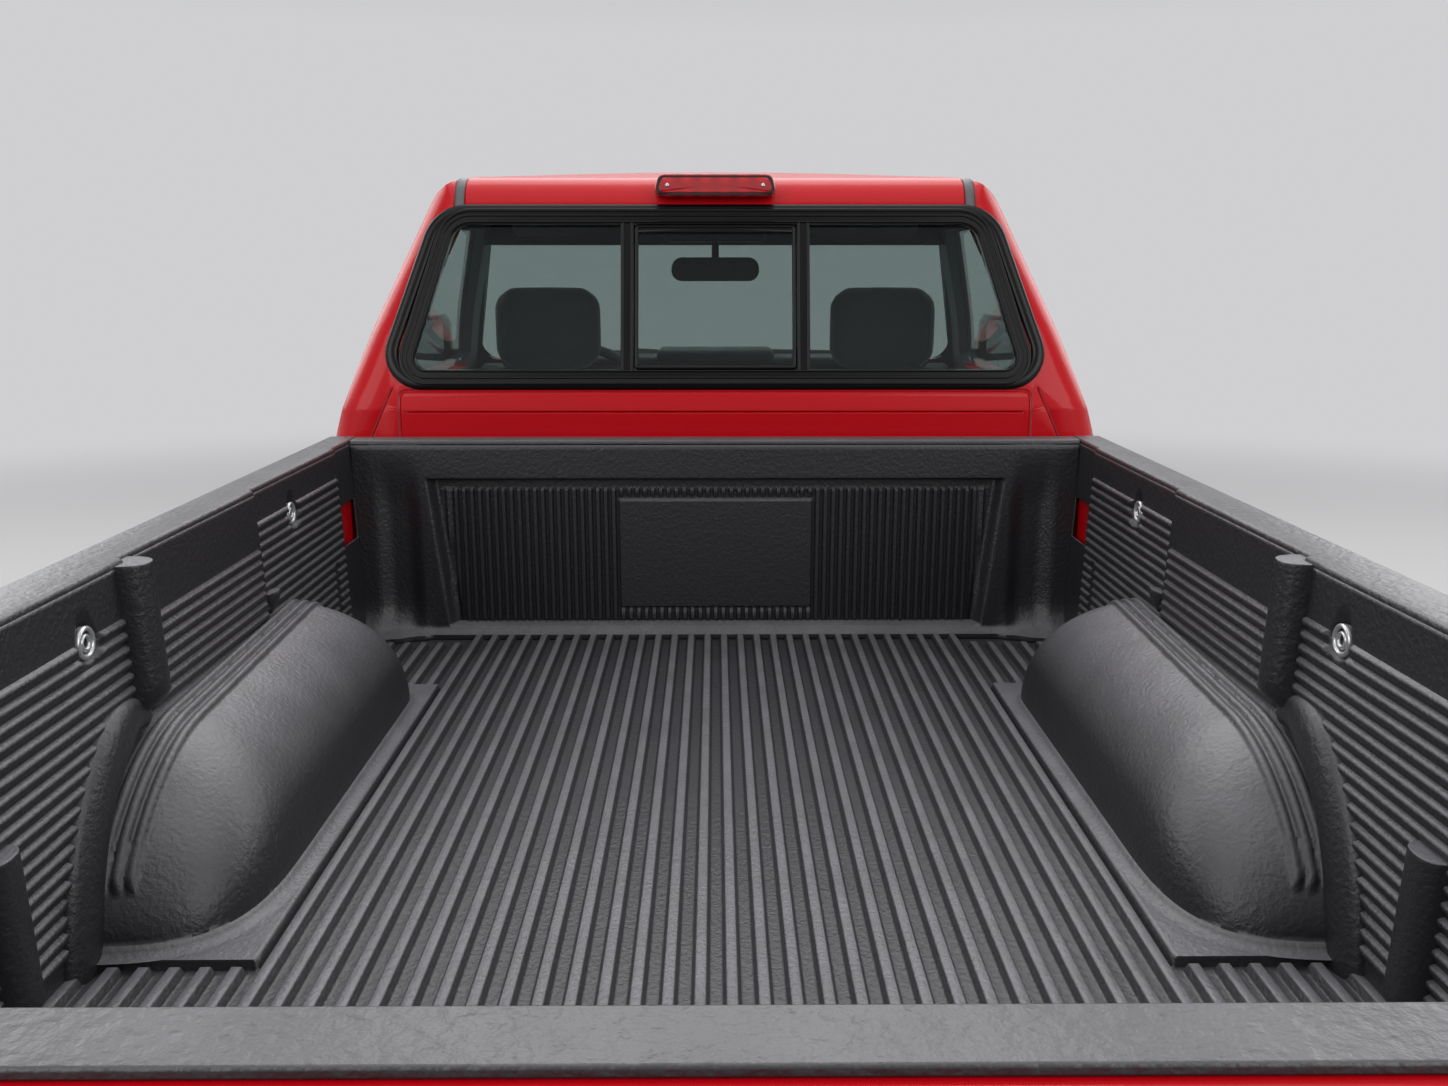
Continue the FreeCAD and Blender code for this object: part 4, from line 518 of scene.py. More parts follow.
def clear(name, code, roughness=0.0, band=None):
    """Tinted glass or clear plastic that lets the lamps' light through to what is behind it. A band is a
    second tint that comes in above a height."""
    material, tree, shader, place = blank(name)
    settle(shader, {"Base Color": linear(code), "Transmission Weight": 1.0, "Roughness": roughness,
                    "IOR": 1.45})
    if band:
        tint, low, high, ahead_of = band
        level = add(tree, "ShaderNodeSeparateXYZ", {}, {0: place["Object"]})
        rise = add(tree, "ShaderNodeMapRange", {"From Min": low * MM, "From Max": high * MM},
                   {"Value": level.outputs["Z"]})
        ahead = add(tree, "ShaderNodeMath", {"operation": "LESS_THAN", 1: ahead_of * MM},
                    {0: level.outputs["Y"]})
        both = add(tree, "ShaderNodeMath", {"operation": "MULTIPLY"},
                   {0: rise.outputs[0], 1: ahead.outputs[0]})
        tree.links.new(blend(tree, both.outputs[0], code, tint), shader.inputs["Base Color"])
    path = add(tree, "ShaderNodeLightPath")
    through = add(tree, "ShaderNodeBsdfTransparent", {"Color": linear(code)})
    mix = add(tree, "ShaderNodeMixShader", {}, {0: path.outputs["Is Shadow Ray"], 1: shader.outputs[0],
                                                2: through.outputs[0]})
    tree.links.new(mix.outputs[0], tree.nodes["Material Output"].inputs["Surface"])
    return material


def prismed_lens(name, code, second, pitch):
    """Coloured acrylic with fine pyramid prisms behind a smooth face, drawn as relief of one pitch."""
    material, tree, shader, place = blank(name)
    settle(shader, {"Roughness": 0.12, "Coat Weight": 0.8, "Coat Roughness": 0.02})
    waves = []
    for direction in ("X", "Z"):
        wave = add(tree, "ShaderNodeTexWave", {"bands_direction": direction, "Scale": 1000 / pitch / 20},
                   {"Vector": place["Object"]})
        waves.append(wave.outputs["Fac"])
    height = add(tree, "ShaderNodeMath", {"operation": "MULTIPLY"}, {0: waves[0], 1: waves[1]})
    relief = add(tree, "ShaderNodeBump", {"Strength": 0.5, "Distance": 0.001}, {"Height": height.outputs[0]})
    tree.links.new(relief.outputs["Normal"], shader.inputs["Normal"])
    tree.links.new(blend(tree, height.outputs[0], code, second), shader.inputs["Base Color"])
    return material


# A comment says what each one gives the eye
FINISHES = {
    # Moulded plastic: soft wide highlights
    "trim": ("satin_black_trim", "trim", "#1B1B1D", 0.36, {"mottle": 90, "grain": 0.9, "depth": 0.01}),
    # EPDM rubber: the deepest black, with a thin dull sheen
    "window_rubber": ("black_window_rubber", "#08080A", "#0C0C0E", 0.3,
                      {"mottle": 200, "depth": 0, "specular": 0.25}),
    # Turned stainless steel: bright rings with soft reflections
    "bright_steel": ("bright_stainless_steel", "#D4D5D7", "#C4C5C8", 0.3,
                     {"metallic": 0.7, "mottle": 12, "depth": 0}),
    # Vulcanised rubber: dull and nearly black
    "rubber": ("tyre_rubber", "#1B1B1C", "#242425", 0.75, {"mottle": 40, "grain": 1.2}),
    # Chrome over polished steel: sharp reflections
    "chrome": ("bright_chrome_plate", "#D9DADC", "#CFD0D3", 0.09,
               {"metallic": 1.0, "mottle": 300, "depth": 0}),
    # Metallic lacquer on steel wheels: silver with a clear coat
    "alloy": ("silver_wheel_lacquer", "#A7A9AC", "#9B9DA1", 0.36,
              {"metallic": 0.85, "mottle": 80, "grain": 0.8, "depth": 0.01, "coat": 0.4}),
    # Sprayed chassis black: slightly uneven and half dull
    "chassis": ("black_chassis_paint", "#17171A", "#232222", 0.55,
                {"mottle": 70, "grain": 2.0, "depth": 0.1}),
    # Sand-cast iron: rough, grey-brown
    "iron": ("grey_cast_iron", "#4A4846", "#5B5552", 0.72,
             {"metallic": 0.6, "mottle": 35, "grain": 1.6, "depth": 0.2}),
    # Aluminised sheet and spring steel: dull metal with browner patches
    "steel": ("dull_aluminised_steel", "#8A8783", "#6E6862", 0.5,
              {"metallic": 0.9, "mottle": 50, "grain": 1.2}),
    # Extruded vinyl: even mid grey
    "strip": ("grey_roof_moulding", "#4E4F52", "#5A5B5E", 0.45, {}),
    # Grained ABS: dark, with broken highlights
    "dash": ("grained_dash_plastic", "#2B2C30", "#323338", 0.6, {"mottle": 120, "grain": 1.1, "depth": 0.08}),
    # Pressed board and vinyl: flat grey
    "lining": ("grey_cab_lining", "#57585B", "#616265", 0.85, {"mottle": 50, "grain": 1.4, "depth": 0.1}),
    # Woven polyester: dark, its threads catching light at the edges
    "cloth": ("woven_seat_cloth", "cloth", "#37383D", 0.92,
              {"mottle": 6, "grain": 1.4, "depth": 0.3, "sheen": 0.35}),
    # Silvered glass: a plain reflection
    "mirror": ("silvered_mirror", "#C9CFD1", "#C2C9CB", 0.02, {"metallic": 1.0, "mottle": 400, "depth": 0}),
}
# lens: material name, its deep tone, its bright tone
LENSES = {
    "red_lens": ("red_acrylic_lens", "#A80008", "#D8121C"),
    "amber_lens": ("amber_acrylic_lens", "#C85A08", "#E88A20"),
    "white_lens": ("milky_reverse_lens", "#B9BBBC", "#DADCDC"),
}
PRISM_PITCH = 6.0
MATERIALS = {}


def make_materials():
    """Every finish of the truck, each named for what the real one is."""
    made = MATERIALS
    made["paint"] = red_enamel()
    # The real grain is 2 to 4 mm across; it is drawn coarser here, so that it shows. It is finer on the
    # floor, walls and humps,
    #     and coarser and paler on the caps that loads slide over. Where a face looks up, its paler tone is
    #     partly scuffing and partly painted light from above.
    made["liner"] = moulded_polyethylene("moulded_polyethylene", 6.5, 1.3, colours().scuff_and_top_light)
    made["cap"] = moulded_polyethylene("scuffed_and_top_lit_cap_polyethylene", 9.5, 1.8, "#58585C")
    made["glass"] = clear("tinted_safety_glass", colours().glass)
    made["screen"] = clear("banded_windshield_glass", colours().glass, band=("#7FA0A6", 1435, 1475, -400))
    made["clear_lens"] = clear("clear_acrylic_lens", "#F0F1F0", 0.02)
    for key, (name, code, second, roughness, rest) in FINISHES.items():
        tone = code if code.startswith("#") else getattr(colours(), code)
        made[key] = finish(name, tone, second, roughness, **rest)
    for key, (name, deep, bright) in LENSES.items():
        made[key] = prismed_lens(name, deep, bright, PRISM_PITCH)


# Bed liner


# rib profile: distance from the rib's middle, share of its height
RIB_PROFILE = ((0.0, 1.0), (4.7, 1.0), (5.6, 0.96), (6.5, 0.84), (9.1, 0.12), (10.0, 0.02), (11.4, 0.0),
               (16.35, 0.0))
# places along the bed are measured from the front wall
PAD_INNER = 492.0
PAD_START = 316.0
PAD_END = 1206.0
WALL_LEAN = 16.0
BED_DEPTH = RAIL_TOP - FLOOR_TOP
HUMP_FRONT = 350.0
HUMP_REAR = 1196.0
HUMP_NOSE = 462.0
HUMP_BEND = 938.0
POST_AT = 990.0
SHORT_POST_AT = 1328.0


def floor_heights(x, y):
    """Height of the liner's floor: raised ribs with steep flanks, and flat pads round the wheel humps.
    y is measured from the front wall."""
    s = sizes()
    pitch = s.rib_pitch / MM
    nearest = np.abs((x / pitch) % 1 - 0.5) * pitch
    reach, share = np.array(RIB_PROFILE).T
    rib = np.interp(nearest, reach, share)
    inner = np.abs(x) < pitch * s.rib_count / 2
    long_runs = between(y, 8, BED_LENGTH, 7)
    short_runs = between(y, 66, 330, 8) + between(y, PAD_END + 14, BED_LENGTH, 8)
    ribs = rib * np.where(inner, long_runs, short_runs * (np.abs(x) < 690))
    pad = smooth_step(np.abs(x), PAD_INNER - 5, PAD_INNER) * between(y, PAD_START, PAD_END, 4)
    ledge = 1 - smooth_step(y, 2, 8)
    return VALLEY + s.rib_height / MM * np.maximum(np.maximum(ribs, pad), ledge)


def liner_floor():
    """The floor: z over a grid of x and y, its columns set close on the ribs' flanks."""
    pitch = sizes().rib_pitch / MM
    centres = (np.arange(-22, 22) + 0.5) * pitch
    reach = np.array(RIB_PROFILE)[1:, 0]
    x = (centres[:, None] + np.concatenate([-reach, reach[:-1]])).ravel()
    x = np.concatenate([[-706], x[np.abs(x) < 704], [706]])
    x = np.unique(np.concatenate([x, [-PAD_INNER, -PAD_INNER + 5, PAD_INNER - 5, PAD_INNER]]))
    y = np.unique(np.concatenate([[0, 1, 2, 4, 6, 8, 12], np.linspace(20, 58, 3), np.linspace(58, 66, 5),
                                  np.linspace(80, 290, 8), np.linspace(PAD_START - 4, 338, 8),
                                  np.linspace(360, 1190, 14), np.linspace(PAD_END, PAD_END + 4, 4),
                                  np.linspace(PAD_END + 6, PAD_END + 14, 6), np.linspace(1270, 1840, 12),
                                  [1868, 1884]]))
    across, along = np.meshgrid(x, y)
    height = floor_heights(across, along)
    # The thin moulding lies a little unevenly on the steel
    height = height + 0.5 * np.sin(across / 83 + along / 310) * np.sin(along / 197 + 0.6)
    return grid(np.stack([across, along + BED_FRONT, height], axis=-1), flip=True)


WALL_AT_RAIL = 708.0
# where the wall steps towards the middle, and by how much: from the front wall, step
WALL_STEPS = ((541, 8), (986, 10))
FRONT_STRIP_END = 106
# the shoulder's line on the wall, from the post's foot down to the pad: from the front wall, height
SHOULDER_LINE = ((1034, 880), (1070, 872), (1110, 848), (1152, 804), (1184, 752), (1202, 704), (1210, 672),
                 (1213, 655))
# stretch of wall: start and end from the front wall, highest rib, lowest rib, both above the floor
WALL_RIBS = ((120, 541, 330, 20), (553, 966, 294, 180), (1012, 1866, 318, 20))
STUDS = (374.0, 1100.0)
STUD_Z = 989.0
# the upright groove between the ribs ahead of the first stud: start, end, height of its head
DIVIDER = (176.0, 190.0, 855.0)
# the tie-down slot: start and end from the front wall, height of its foot and head
SLOT = (3, 102, 866, 946)


def wall_face(y, z):
    """How far from the middle the left wall's plain face stands: it leans out, and steps in by stretches."""
    rail = WALL_AT_RAIL
    for at, step in WALL_STEPS:
        rail = rail - step * smooth_step(y, at, at + 8)
    front_strip = 6 * (1 - smooth_step(y, FRONT_STRIP_END, FRONT_STRIP_END + 8))
    return rail + front_strip - WALL_LEAN * (RAIL_TOP - z) / BED_DEPTH


def wall_relief(y, z):
    """How far the ribs stand in from the wall's face: level half-round ribs, split by an upright groove."""
    s = sizes()
    pitch = s.wall_pitch / MM
    total = np.zeros_like(y)
    for start, end, high, low in WALL_RIBS:
        top = FLOOR_TOP + high
        count = math.floor((high - low) / pitch)
        k = np.clip(np.round((top - z) / pitch), 0, count)
        off = (z - (top - k * pitch)) / (pitch * 0.36)
        rib = np.sqrt(np.clip(1 - off * off, 0, 1))
        total += rib * between(y, start + 8, end - 8, 7)
    first, last, head = DIVIDER
    total *= 1 - between(y, first, last, 5) * (1 - smooth_step(z, head - 6, head + 6))
    for at in STUDS:
        total *= smooth_step(np.hypot(y - at, z - STUD_Z), 24, 30)
    # Between the post and the shoulder's line the wall is plain down to the hump
    line = np.array(SHOULDER_LINE[::-1])
    total *= 1 - smooth_step(np.interp(z, line[:, 1], line[:, 0]) - y, -4, 2) * (y > 960) * (z < line[-1, 1])
    return total * s.wall_height / MM


def liner_wall():
    """The left wall: its face pushed in by the ribs, over a grid of y and z, with round hollows for two
    studs and a shallow one over each."""
    pitch = sizes().wall_pitch / MM
    top = FLOOR_TOP + 330
    offsets = np.array([-0.5, -0.38, -0.34, -0.27, -0.16, 0.0, 0.16, 0.27, 0.34, 0.38])
    fine = ((np.arange(-20, 1)[:, None] + offsets) * pitch + top).ravel()
    z = np.unique(np.concatenate([[FLOOR_TOP - 14, FLOOR_TOP - 2], fine[fine > FLOOR_TOP + 4],
                                  np.linspace(top + 16, RAIL_TOP - 8, 8)]))
    marks = [[0, 3, 40, 102, 106, 110, 114], np.linspace(541, 549, 4), np.linspace(172, 196, 9),
             np.linspace(200, 540, 9), np.linspace(560, 930, 8), np.linspace(1010, 1884, 16)]
    for start, end, _, _ in WALL_RIBS:
        marks += [start + np.linspace(0, 10, 6), end - np.linspace(0, 10, 6)]
    for at in STUDS:
        marks.append(at + np.linspace(-34, 34, 25))
    y = np.unique(np.round(np.concatenate(marks), 2))
    along, up = np.meshgrid(y, z)
    x = wall_face(along, up) - wall_relief(along, up)
    for at in STUDS:
        x += 6 * (1 - smooth_step(np.hypot(along - at, up - STUD_Z), 19.5, 24))
        x += 4 * (1 - smooth_step(np.hypot((along - at) / 0.8, up - STUD_Z - 14), 16, 24))
    x = np.minimum(x, 718.5 - 4)
    return grid(np.stack([x, along + BED_FRONT, up], axis=-1))


def slot_cut(patch):
    """Leaves out the quads of the wall where the tie-down slot is open."""
    points, quads = patch
    middle = points[quads].mean(axis=1)
    y = middle[:, 1] - BED_FRONT
    start, end, foot, head = SLOT
    keep = ~((y > start) & (y < end) & (middle[:, 2] > foot) & (middle[:, 2] < head))
    return points, quads[keep]


HUMP_CROWN = 704.0
# columns round the hump's front end, along its side and round its tail
HUMP_COLUMNS = (32, 60, 129)


def hump_columns():
    """Columns round the hump: the angle round its front or rear end, the end's length (negative in front),
    and the place along the straight part between."""
    front = -(HUMP_NOSE - HUMP_FRONT)
    rear = HUMP_REAR - HUMP_BEND
    ahead, along, behind = HUMP_COLUMNS
    turn = np.concatenate([np.linspace(1, 0, ahead + 1)[:-1], np.zeros(along),
                           np.linspace(0, 1, behind + 1)[1:]]) * math.pi / 2
    reach = np.repeat([front, 0.0, rear], HUMP_COLUMNS)
    start = np.concatenate([np.full(ahead, HUMP_NOSE), np.linspace(HUMP_NOSE, HUMP_BEND, along),
                            np.full(behind, HUMP_BEND)])
    return turn, reach, start


def liner_hump():
    """The left wheel hump. In plan each row is a superellipse at both ends, squarer at the foot than near the
    crown; its height is height * (1 - t^2.1)^q for t from 1 at the foot to 0 at the crown, fuller along the
    side than down the tail. It has a cove at the foot and three ridges along its outer side."""
    s = sizes()
    height = s.hump_height / MM
    foot = s.hump_foot / MM
    turn, reach, start = hump_columns()
    v = np.concatenate([np.linspace(0, 0.45, 18)[:-1], np.linspace(0.45, 1, 74)])[:, None] * math.pi / 2
    t = np.cos(v) ** 0.95
    power = 2 / (2 + 1.7 * t ** 3)
    x = HUMP_CROWN - (HUMP_CROWN - foot) * t * np.cos(turn) ** power
    y = start + reach * t * np.sin(turn) ** power
    tail = np.sin(turn) ** 2 * (reach > 0)
    nose = np.sin(turn) ** 2 * (reach < 0)
    lift = (1 - t ** 2.1) ** (0.46 + 0.27 * tail - 0.06 * nose)
    points = np.stack([x, y, FLOOR_TOP + height * lift], axis=-1)
    out = normals(points)
    out *= -np.sign(out[12, 60, 0])
    slant = np.interp(y, [HUMP_FRONT, HUMP_BEND, HUMP_REAR], [14, -6, -9])
    above = smooth_step(points[..., 2], FLOOR_TOP + 58, FLOOR_TOP + 65) * (t > 0.02)
    relief = np.zeros_like(x)
    for k in range(3):
        centre = 662 + slant + (k - 1) * 15.5
        relief += 5.5 * np.clip(1 - ((x - centre) / 6.0) ** 2, 0, 1) ** 0.6 * above
    points = points + out * relief[..., None]
    # Cove at the foot: a quarter round from the pad up to the hump's side
    cove = 20.0
    side = points[0, :, :2]
    direction = np.gradient(side, axis=0)
    direction /= np.maximum(np.linalg.norm(direction, axis=1, keepdims=True), 1e-9)
    outward = np.stack([direction[:, 1], -direction[:, 0]], axis=1)
    outward *= np.sign(-outward[60, 0])
    a = np.linspace(0, math.pi / 2, 6)[:-1, None]
    reach = cove * (1 - np.sin(a))
    rise = cove * 0.6 * (1 - np.cos(a))
    rows = np.stack([side[:, 0] + outward[:, 0] * reach, side[:, 1] + outward[:, 1] * reach,
                     FLOOR_TOP + np.broadcast_to(rise, (len(a), len(side)))], axis=-1)
    points[..., 2] = np.maximum(points[..., 2], rows[-1, :, 2][None])
    points = np.concatenate([rows, points])
    points[..., 0] = np.minimum(points[..., 0], HUMP_CROWN + 6)
    points[..., 1] += BED_FRONT
    return grid(points, flip=True)


def liner_shoulder():
    """The smooth roll between the hump's tail and the wall's ribs: half an ellipse carried along a curve,
    growing out of the wall under the post."""
    line = curve_through(((968, 850), (1000, 868), *SHOULDER_LINE), 60)
    y, z = line.T
    path = np.stack([wall_face(y, z) + 1, y + BED_FRONT, z], axis=1)
    grow = 0.3 + 0.7 * smooth_step(np.linspace(0, 1, 60), 0, 0.4)
    return sweep(path, bead(70, 19, foot=6, sides=19), up=(-1, 0, 0), grow=grow)


def post(at, width, depth, low, high):
    """An upright post on the left wall: a flattened half-round, closed by a level head and a rounded foot."""
    a = np.linspace(0, math.pi, 29)
    z = np.concatenate([low + np.array([0, 1.5, 5, 11, 19, 28]), np.linspace(low + 45, high - 12, 8),
                        high - np.array([4.0, 1.5, 0.4, 0.0, 0.0])])
    swell = np.sqrt(np.clip((z - low) / 28, 0, 1)) * np.array([1] * (len(z) - 4) + [1, 0.985, 0.95, 0])
    swell[0] = 0.0
    face = wall_face(np.full_like(z, at), z)[:, None] + 8
    arch = np.sin(a) ** 0.62
    x = face - (depth + 8) * swell[:, None] * arch
    y = at + BED_FRONT - width / 2 * np.sign(np.cos(a)) * np.abs(np.cos(a)) ** 0.8 * np.ones_like(z)[:, None]
    return grid(np.stack([x, y, z[:, None] * np.ones_like(a)], axis=-1), flip=True)


def lug():
    """The small wedge over the hump where two stretches of wall meet: widest and proudest at its head."""
    t = np.array([0, 0.15, 0.4, 0.7, 0.92, 1.0, 1.0])[:, None]
    proud = np.array([0, 3, 9, 16, 20, 18, 0])[:, None]
    s = np.linspace(-1, 1, 13)[None]
    y = 522 + 24 * t ** 0.7 * s
    z = 852 + 40 * t + 4 * (1 - s * s) * (t > 0.9)
    x = wall_face(y, z) + 2 - (proud + 2) * np.sqrt(np.clip(1 - s * s, 0, 1)) * (t > 0)
    return grid(np.stack([x, y + BED_FRONT, z * np.ones_like(y)], axis=-1), flip=True)


HEAD_POCKET = 26.0
# recess of the front wall: half-width and height above the floor, at its foot and head
RECESS = ((536, 12), (571, 315))
PANEL = (190, 50, 265)


def liner_head():
    """The front wall: y over a grid of x and z. A trapezoid recess holds upright ribs round a plain panel,
    hollows sweep down to the floor at both sides, and the foot flares."""
    s = sizes()
    pitch = s.head_pitch / MM
    count = int(2 * 530 / pitch)
    centres = (np.arange(count) - (count - 1) / 2) * pitch
    offsets = np.array([-7.8, -5.6, -4.4, -3.0, 0.0, 3.0, 4.4, 5.6])
    x = (centres[:, None] + offsets).ravel()
    sides = np.concatenate([np.linspace(532, 600, 24), np.linspace(606, 715, 18)])
    panel_half, panel_low, panel_high = PANEL
    x = np.unique(np.round(np.concatenate([-sides, x, sides, [-panel_half, panel_half]]), 2))
    z = FLOOR_TOP + np.unique(np.concatenate([[-11, -6, 0, 4, 8], np.linspace(10, 24, 8), [34, 42],
                                              np.linspace(46, 56, 6), np.linspace(75, 255, 8),
                                              np.linspace(260, 272, 6), np.linspace(280, 296, 6),
                                              np.linspace(300, 322, 10),
                                              np.linspace(332, RAIL_TOP - FLOOR_TOP - 8, 5)]))
    across, up = np.meshgrid(x, z)
    above = up - FLOOR_TOP
    (foot_half, foot_z), (head_half, head_z) = RECESS
    half = foot_half + (head_half - foot_half) * (above - foot_z) / (head_z - foot_z)
    inside = (1 - smooth_step(np.abs(across), half - 18, half)) * between(above, foot_z + 6, head_z - 6, 6)
    nearest = np.abs((across / pitch + (0.5 if count % 2 == 0 else 0.0)) % 1 - 0.5) * pitch
    if count % 2 == 1:
        nearest = 0.5 * pitch - nearest
    rib = 1 - smooth_step(nearest, 2.6, 5.6)
    rib *= between(above, foot_z + 10, head_z - 26, 4)
    rib *= 1 - smooth_step(np.abs(across), half - 28, half - 22)
    panel = between(np.abs(across), -1, panel_half, 3) * between(above, panel_low, panel_high, 3)
    groove = between(np.abs(across), -1, panel_half + 7, 2)
    groove = groove * between(above, panel_low - 7, panel_high + 7, 2) - panel
    depth =-HEAD_POCKET * inside + 8 * rib * inside * (1 - panel) * (1 - groove) + 8 * panel * inside
    hollow = between(np.abs(across), 612, 640, 34) * (1 - smooth_step(above, 250, 372))
    depth = depth - 13 * hollow
    flare = 42 * (1 - np.clip(above / 75, 0, 1)) ** 2.4 * smooth_step(np.abs(across), 560, 640)
    cove = 16 * (1 - np.clip(above / 16, 0, 1)) ** 2
    depth = depth + flare + cove * (1 - inside)
    return grid(np.stack([across, BED_FRONT + depth, up], axis=-1))


def cap_section(inner, outer, drop, under):
    """The section of a cap: which edge each point is measured from (0 inner, 1 outer), how far, how high."""
    a = np.linspace(0, math.pi / 2, 5)
    share = [0] * 6 + [1] * 5 + [1, 1, 1, 0, 0]
    offset = [0, *(inner - inner * np.cos(a)), *(-outer + outer * np.sin(a)), 0, -3.5, -3.5, 4.5, 4.5]
    rise = [-10, *(-inner + inner * np.sin(a)), *(-outer + outer * np.cos(a)),
            -drop, -drop, -under, -under, -10]
    return np.array(share), np.array(offset), np.array(rise) + RAIL_TOP


def liner_caps():
    """The caps over the rails and the front wall: flat tops with rounded edges. A rail cap's inner edge
    follows the wall's stretches and its outer one draws in to the tail."""
    share, offset, height = cap_section(6.0, 7.0, 12.4, 6.6)
    y = np.unique(np.concatenate([[-CAP_DEPTH, -30, 0, 50, 105, 110, 114], np.linspace(160, 530, 6),
                                  [541, 545, 549], np.linspace(600, 980, 6), [986, 990, 994],
                                  np.linspace(1060, BED_LENGTH - 6, 10)]))
    inner = wall_face(y, RAIL_TOP)
    outer = RAIL_OUTER - 14.0 * y / BED_LENGTH
    edge = inner[:, None] * (1 - share) + outer[:, None] * share
    points = np.stack([edge + offset, np.repeat(y[:, None] + BED_FRONT, len(share), axis=1),
                       np.repeat(height[None], len(y), axis=0)], axis=-1)
    rail = [grid(points, wrap_cols=True), fan(points[0], flip=True), fan(points[-1])]
    share, offset, height = cap_section(8.0, 7.0, 26.0, 6.6)
    x = np.linspace(-712, 712, 30)
    depth = BED_FRONT - CAP_DEPTH * share - offset
    points = np.stack([np.repeat(x[:, None], len(share), axis=1), np.repeat(depth[None], len(x), axis=0),
                       np.repeat(height[None], len(x), axis=0)], axis=-1)
    return [*rail, *mirrored(rail), grid(points, wrap_cols=True)]


def stud_rings(at):
    """The bright rings of a tie-down stud on the left wall: two half-round rings one inside the other."""
    face = float(wall_face(np.array(at), np.array(STUD_Z))) + 2.5
    a = np.linspace(-0.2, math.pi + 0.2, 9)
    made = []
    for radius, thick in ((16.0, 3.0), (8.0, 2.4)):
        profile = np.stack([-thick * np.sin(a) * 1.2, radius - thick * np.cos(a)], axis=1)
        made.append(lathe(profile, (face, at + BED_FRONT, STUD_Z), steps=40))
    return made


def stud_wells(at):
    """The dark disc behind the rings, with a screw's hollow in its middle."""
    face = float(wall_face(np.array(at), np.array(STUD_Z))) + 3.5
    profile = [(4, 0.01), (4, 3), (0.5, 4), (0, 6), (0, 17), (3, 19)]
    return [lathe(profile, (face, at + BED_FRONT, STUD_Z), steps=32)]


# Rear window, stop lamp and roof


WINDOW_SLOPE = 0.2711
WINDOW_NORMAL = np.array([0.0, 0.9651, 0.2618])
WINDOW_FOOT = 1155.0
WINDOW_HEAD = 1502.0


def on_window(outline, out):
    """Points (x, z) on the sloping plane of the rear window, moved out along its normal."""
    outline = np.asarray(outline, float)
    y = CAB_REAR - WINDOW_SLOPE * (outline[:, 1] - 1110)
    return np.stack([outline[:, 0], y, outline[:, 1]], axis=1) + WINDOW_NORMAL * out


def window_outline(inset):
    """The rear window's outline, moved inwards: wide at its foot, with round corners."""
    low = (656 - 1.358 * inset, WINDOW_FOOT + inset, 55 - inset)
    high = (548 - 0.736 * inset, WINDOW_HEAD - inset, 75 - inset)
    return rounded([(-low[0], *low[1:]), low, high, (-high[0], *high[1:])], steps=9)


def window_beads():
    """The lips and steps of the window rubber, carried round its outline, and the sliding pane's frame."""
    made = []
    lip = rounded([(-676, WINDOW_FOOT + 5, 60), (676, WINDOW_FOOT + 5, 60), (558, WINDOW_HEAD - 3, 78),
                   (-558, WINDOW_HEAD - 3, 78)], steps=9)
    made += sweep(on_window(lip, -1.0), bead(28, 8.5), up=WINDOW_NORMAL, closed=True)
    for inset, width, height, out in ((3.5, 9, 3.0, 5.6), (14, 5, 2.4, 5.6), (27, 5, 3.6, 4.8)):
        path = on_window(window_outline(inset), out)
        made += sweep(path, bead(width, height), up=WINDOW_NORMAL, closed=True)
    sash = rounded([(-160, 1190, 5), (160, 1190, 5), (160, 1468, 5), (-160, 1468, 5)])
    made += sweep(on_window(sash, -1.0), bead(9, 4), up=WINDOW_NORMAL, closed=True)
    for x in (-178, 178):
        for side in (-9, 9):
            line = np.stack([np.full(12, x + side), np.linspace(1184, 1474, 12)], axis=1)
            made += sweep(on_window(line, 5.4), bead(6, 2.2), up=WINDOW_NORMAL)
    rail = box_outline(0, 1465, 158, 9, 3)
    made += plate(rail, on_window, -6, 1)
    return made


def roof_strips():
    """The grey mouldings in the roof's two ditches: a low bead that follows the skin from the window's head
    forward."""
    skin = skin_of("cab_shell")
    centre = np.array([518.0, CAB_REAR - 430, 1250.0])
    angle = np.radians(np.linspace(38, 118, 44))
    starts = centre + 900 * np.stack([0 * angle, np.cos(angle), np.sin(angle)], axis=1)
    path = []
    for start in starts:
        path.append(on_skin(skin, [start], centre - start, 0.5))
    path = np.vstack([p for p in path if len(p)])
    return sweep(path, bead(19, 3.4, foot=1.5, sides=9), up=(0, 0.3, 1))


STOP_LAMP = (1548.0, 133.0)


def stop_lamp_lens():
    """The lens of the high stop lamp: a shallow panel with round ends on the pod's rear face."""
    z, y = STOP_LAMP
    outline = rounded([(-118, z - 15, 11), (118, z - 15, 11), (108, z + 15, 12), (-108, z + 15, 12)])
    return plate(outline, put_y, y - 2, y + 2.5, edge=2.0)


def screws(places, axis, radius=4.5, out=2.2):
    """Cross-head screws: a low dome with a hollow in its middle."""
    profile = [(-2, radius), (0, radius), (out * 0.7, radius * 0.8), (out, radius * 0.45),
               (out * 0.3, radius * 0.3), (out * 0.3, 0.01)]
    return [lathe(profile, place, axis, steps=14) for place in places]


# Doors and mirrors


# a distance from the middle that lies outside the doors
CLEAR_OF_DOOR = 1100.0


def door_trim():
    """Left door: the handle's grip, the moulding under the glass and a strip along the flank."""
    skin = skin_of("door_left")
    # strip: its front and rear ends, points, height, section, the way that it faces
    strips = (
        (-192, -50, 9, 970.0, bead(26, 4.0, foot=3, sides=9), (1, 0, 0.2)),
        (CAB_FRONT + 152, -44, 24, 1101.0, bead(14, 4.0), (1, 0, 0.3)),
        (CAB_FRONT + 24, -14, 24, 640.0, bead(34, 6.0), (1, 0, 0)),
    )
    made = []
    for front, rear, count, height, section, up in strips:
        starts = np.stack([np.full(count, CLEAR_OF_DOOR), np.linspace(front, rear, count),
                           np.full(count, height)], axis=1)
        made += sweep(on_skin(skin, starts, (-1, 0, 0)), section, up=up)
    return made


